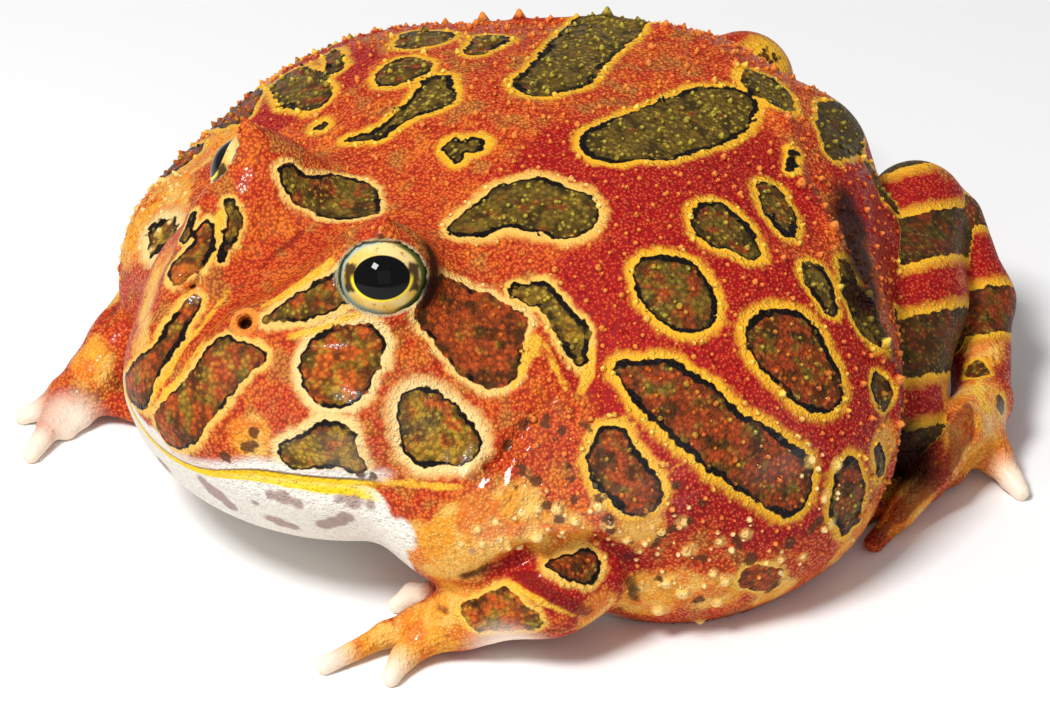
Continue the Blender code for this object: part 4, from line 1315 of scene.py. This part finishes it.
# The eyes: wet globes that bulge a little over the pupil, with a gold iris veined in red-brown, a
# level oval pupil edged in bright yellow, and a thin pale rim of lid around each.
PUPIL = (4.0, 3.15)
IRIS_EDGE = (5.7, 4.9)
CORNEA_RISE = 0.35
CORNEA_REACH = 0.70
GLOBE_RINGS = 40
GLOBE_SIDES = 64
GOLD_IRIS = (0.80, 0.50, 0.10)
PALE_IRIS = (0.84, 0.64, 0.26)
IRIS_VEIN = (0.35, 0.085, 0.02)
IRIS_OLIVE = (0.10, 0.12, 0.03)
IRIS_BLUE = (0.42, 0.52, 0.45)
SMUDGE = (0.035, 0.014, 0.005)
GLINT_YELLOW = (1.0, 0.78, 0.03)
PUPIL_BLACK = (0.002, 0.002, 0.002)


def gaze(side):
    """The eye's middle and its axes: along the look, level across it and up it."""
    look = Vector((LOOK[0] * SIDES[side], LOOK[1], LOOK[2])).normalized()
    level = Vector((0, 0, 1)).cross(look).normalized()
    return Vector(EYES[side]), look, level, look.cross(level)


def globe_finish(side):
    """The eye's wet gloss over its iris and pupil, drawn from distances across its look."""
    middle, look, level, rise = gaze(side)
    made, shader, flow, spot = new_finish("globe_" + side)
    away = flow.node("VectorMath", {0: spot, 1: tuple(middle * MM)}, operation="SUBTRACT")

    def run(axis):
        share = flow.node("VectorMath", {0: away, 1: tuple(axis)}, out="Value", operation="DOT_PRODUCT")
        return share * PER_MM

    forward = SIDES[side]
    across = run(level) * -forward
    up = run(rise)

    def size(value):
        return value.math("ABSOLUTE", value)

    def oval(wide, high):
        wide_part = size(across * (1 / wide))
        high_part = size(up * (1 / high))
        squares = wide_part.math("POWER", wide_part, 2.0) + high_part.math("POWER", high_part, 2.0)
        return squares.math("SQRT", squares)

    pupil = oval(*PUPIL)
    iris = oval(*IRIS_EDGE)
    veins = flow.node("TexNoise", {"Vector": spot, "Scale": 900.0, "Detail": 4.0, "Roughness": 0.7})
    soft = flow.node("TexNoise", {"Vector": spot, "Scale": 350.0, "Detail": 2.0})
    colour = soft.rise(0.35, 0.65).mix(GOLD_IRIS, PALE_IRIS)
    colour = (veins.rise(0.56, 0.68) * 0.7).mix(colour, IRIS_VEIN)
    ragged = (veins - 0.5) * 1.6
    corner = (size(across) + (veins - 0.5) * 1.2).rise(3.4, 3.9)
    corner = corner * (size(across) + ragged).rise(5.6, 5.0)
    corner = corner * (size(up) + ragged).rise(2.3, 1.7)
    colour = (corner * 0.95).mix(colour, SMUDGE)
    colour = (iris.rise(0.93, 1.0) * across.rise(-1.0, -3.0)).mix(colour, IRIS_OLIVE)
    colour = (iris.rise(0.93, 1.0) * across.rise(-1.5, 1.0)).mix(colour, IRIS_BLUE)
    colour = (pupil.rise(1.16, 1.04) * up.rise(0.8, -0.4)).mix(colour, GLINT_YELLOW)
    colour = pupil.rise(1.03, 0.98).mix(colour, PUPIL_BLACK)
    flow.feed(shader, {
        "Base Color": colour, "Roughness": 0.35, "Specular IOR Level": 0.0, "Coat Weight": 0.85,
        "Coat Roughness": 0.01, "Coat IOR": 1.33,
    })
    return made


def globe(side):
    """An eyeball as rings about its look, a little fuller over the pupil."""
    middle, look, level, rise = gaze(side)
    points = []
    for ring in range(1, GLOBE_RINGS):
        turn = math.pi * ring / GLOBE_RINGS
        fuller = CORNEA_RISE * max(0.0, 1 - (turn / CORNEA_REACH) ** 2) ** 2
        for k in range(GLOBE_SIDES):
            spin = 2 * math.pi * k / GLOBE_SIDES
            way = look * math.cos(turn) + (level * math.cos(spin) + rise * math.sin(spin)) * math.sin(turn)
            points.append((middle + way * (EYE_RADIUS + fuller)) * MM)
    front, rear = len(points), len(points) + 1
    points += [(middle + look * (EYE_RADIUS + CORNEA_RISE)) * MM, (middle - look * EYE_RADIUS) * MM]
    faces = []
    for ring in range(GLOBE_RINGS - 2):
        for k in range(GLOBE_SIDES):
            a, b = ring * GLOBE_SIDES + k, ring * GLOBE_SIDES + (k + 1) % GLOBE_SIDES
            faces.append((a, a + GLOBE_SIDES, b + GLOBE_SIDES, b))
    last = (GLOBE_RINGS - 2) * GLOBE_SIDES
    for k in range(GLOBE_SIDES):
        faces.append((front, k, (k + 1) % GLOBE_SIDES))
        faces.append((rear, last + (k + 1) % GLOBE_SIDES, last + k))
    mesh = new_mesh("globe_" + side, points, faces)
    mesh.polygons.foreach_set("use_smooth", [True] * len(faces))
    mesh.materials.append(globe_finish(side))
    item = add_object("globe_" + side, mesh)
    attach(item, "root")
    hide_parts("eye_" + side)


for side in SIDES:
    globe(side)
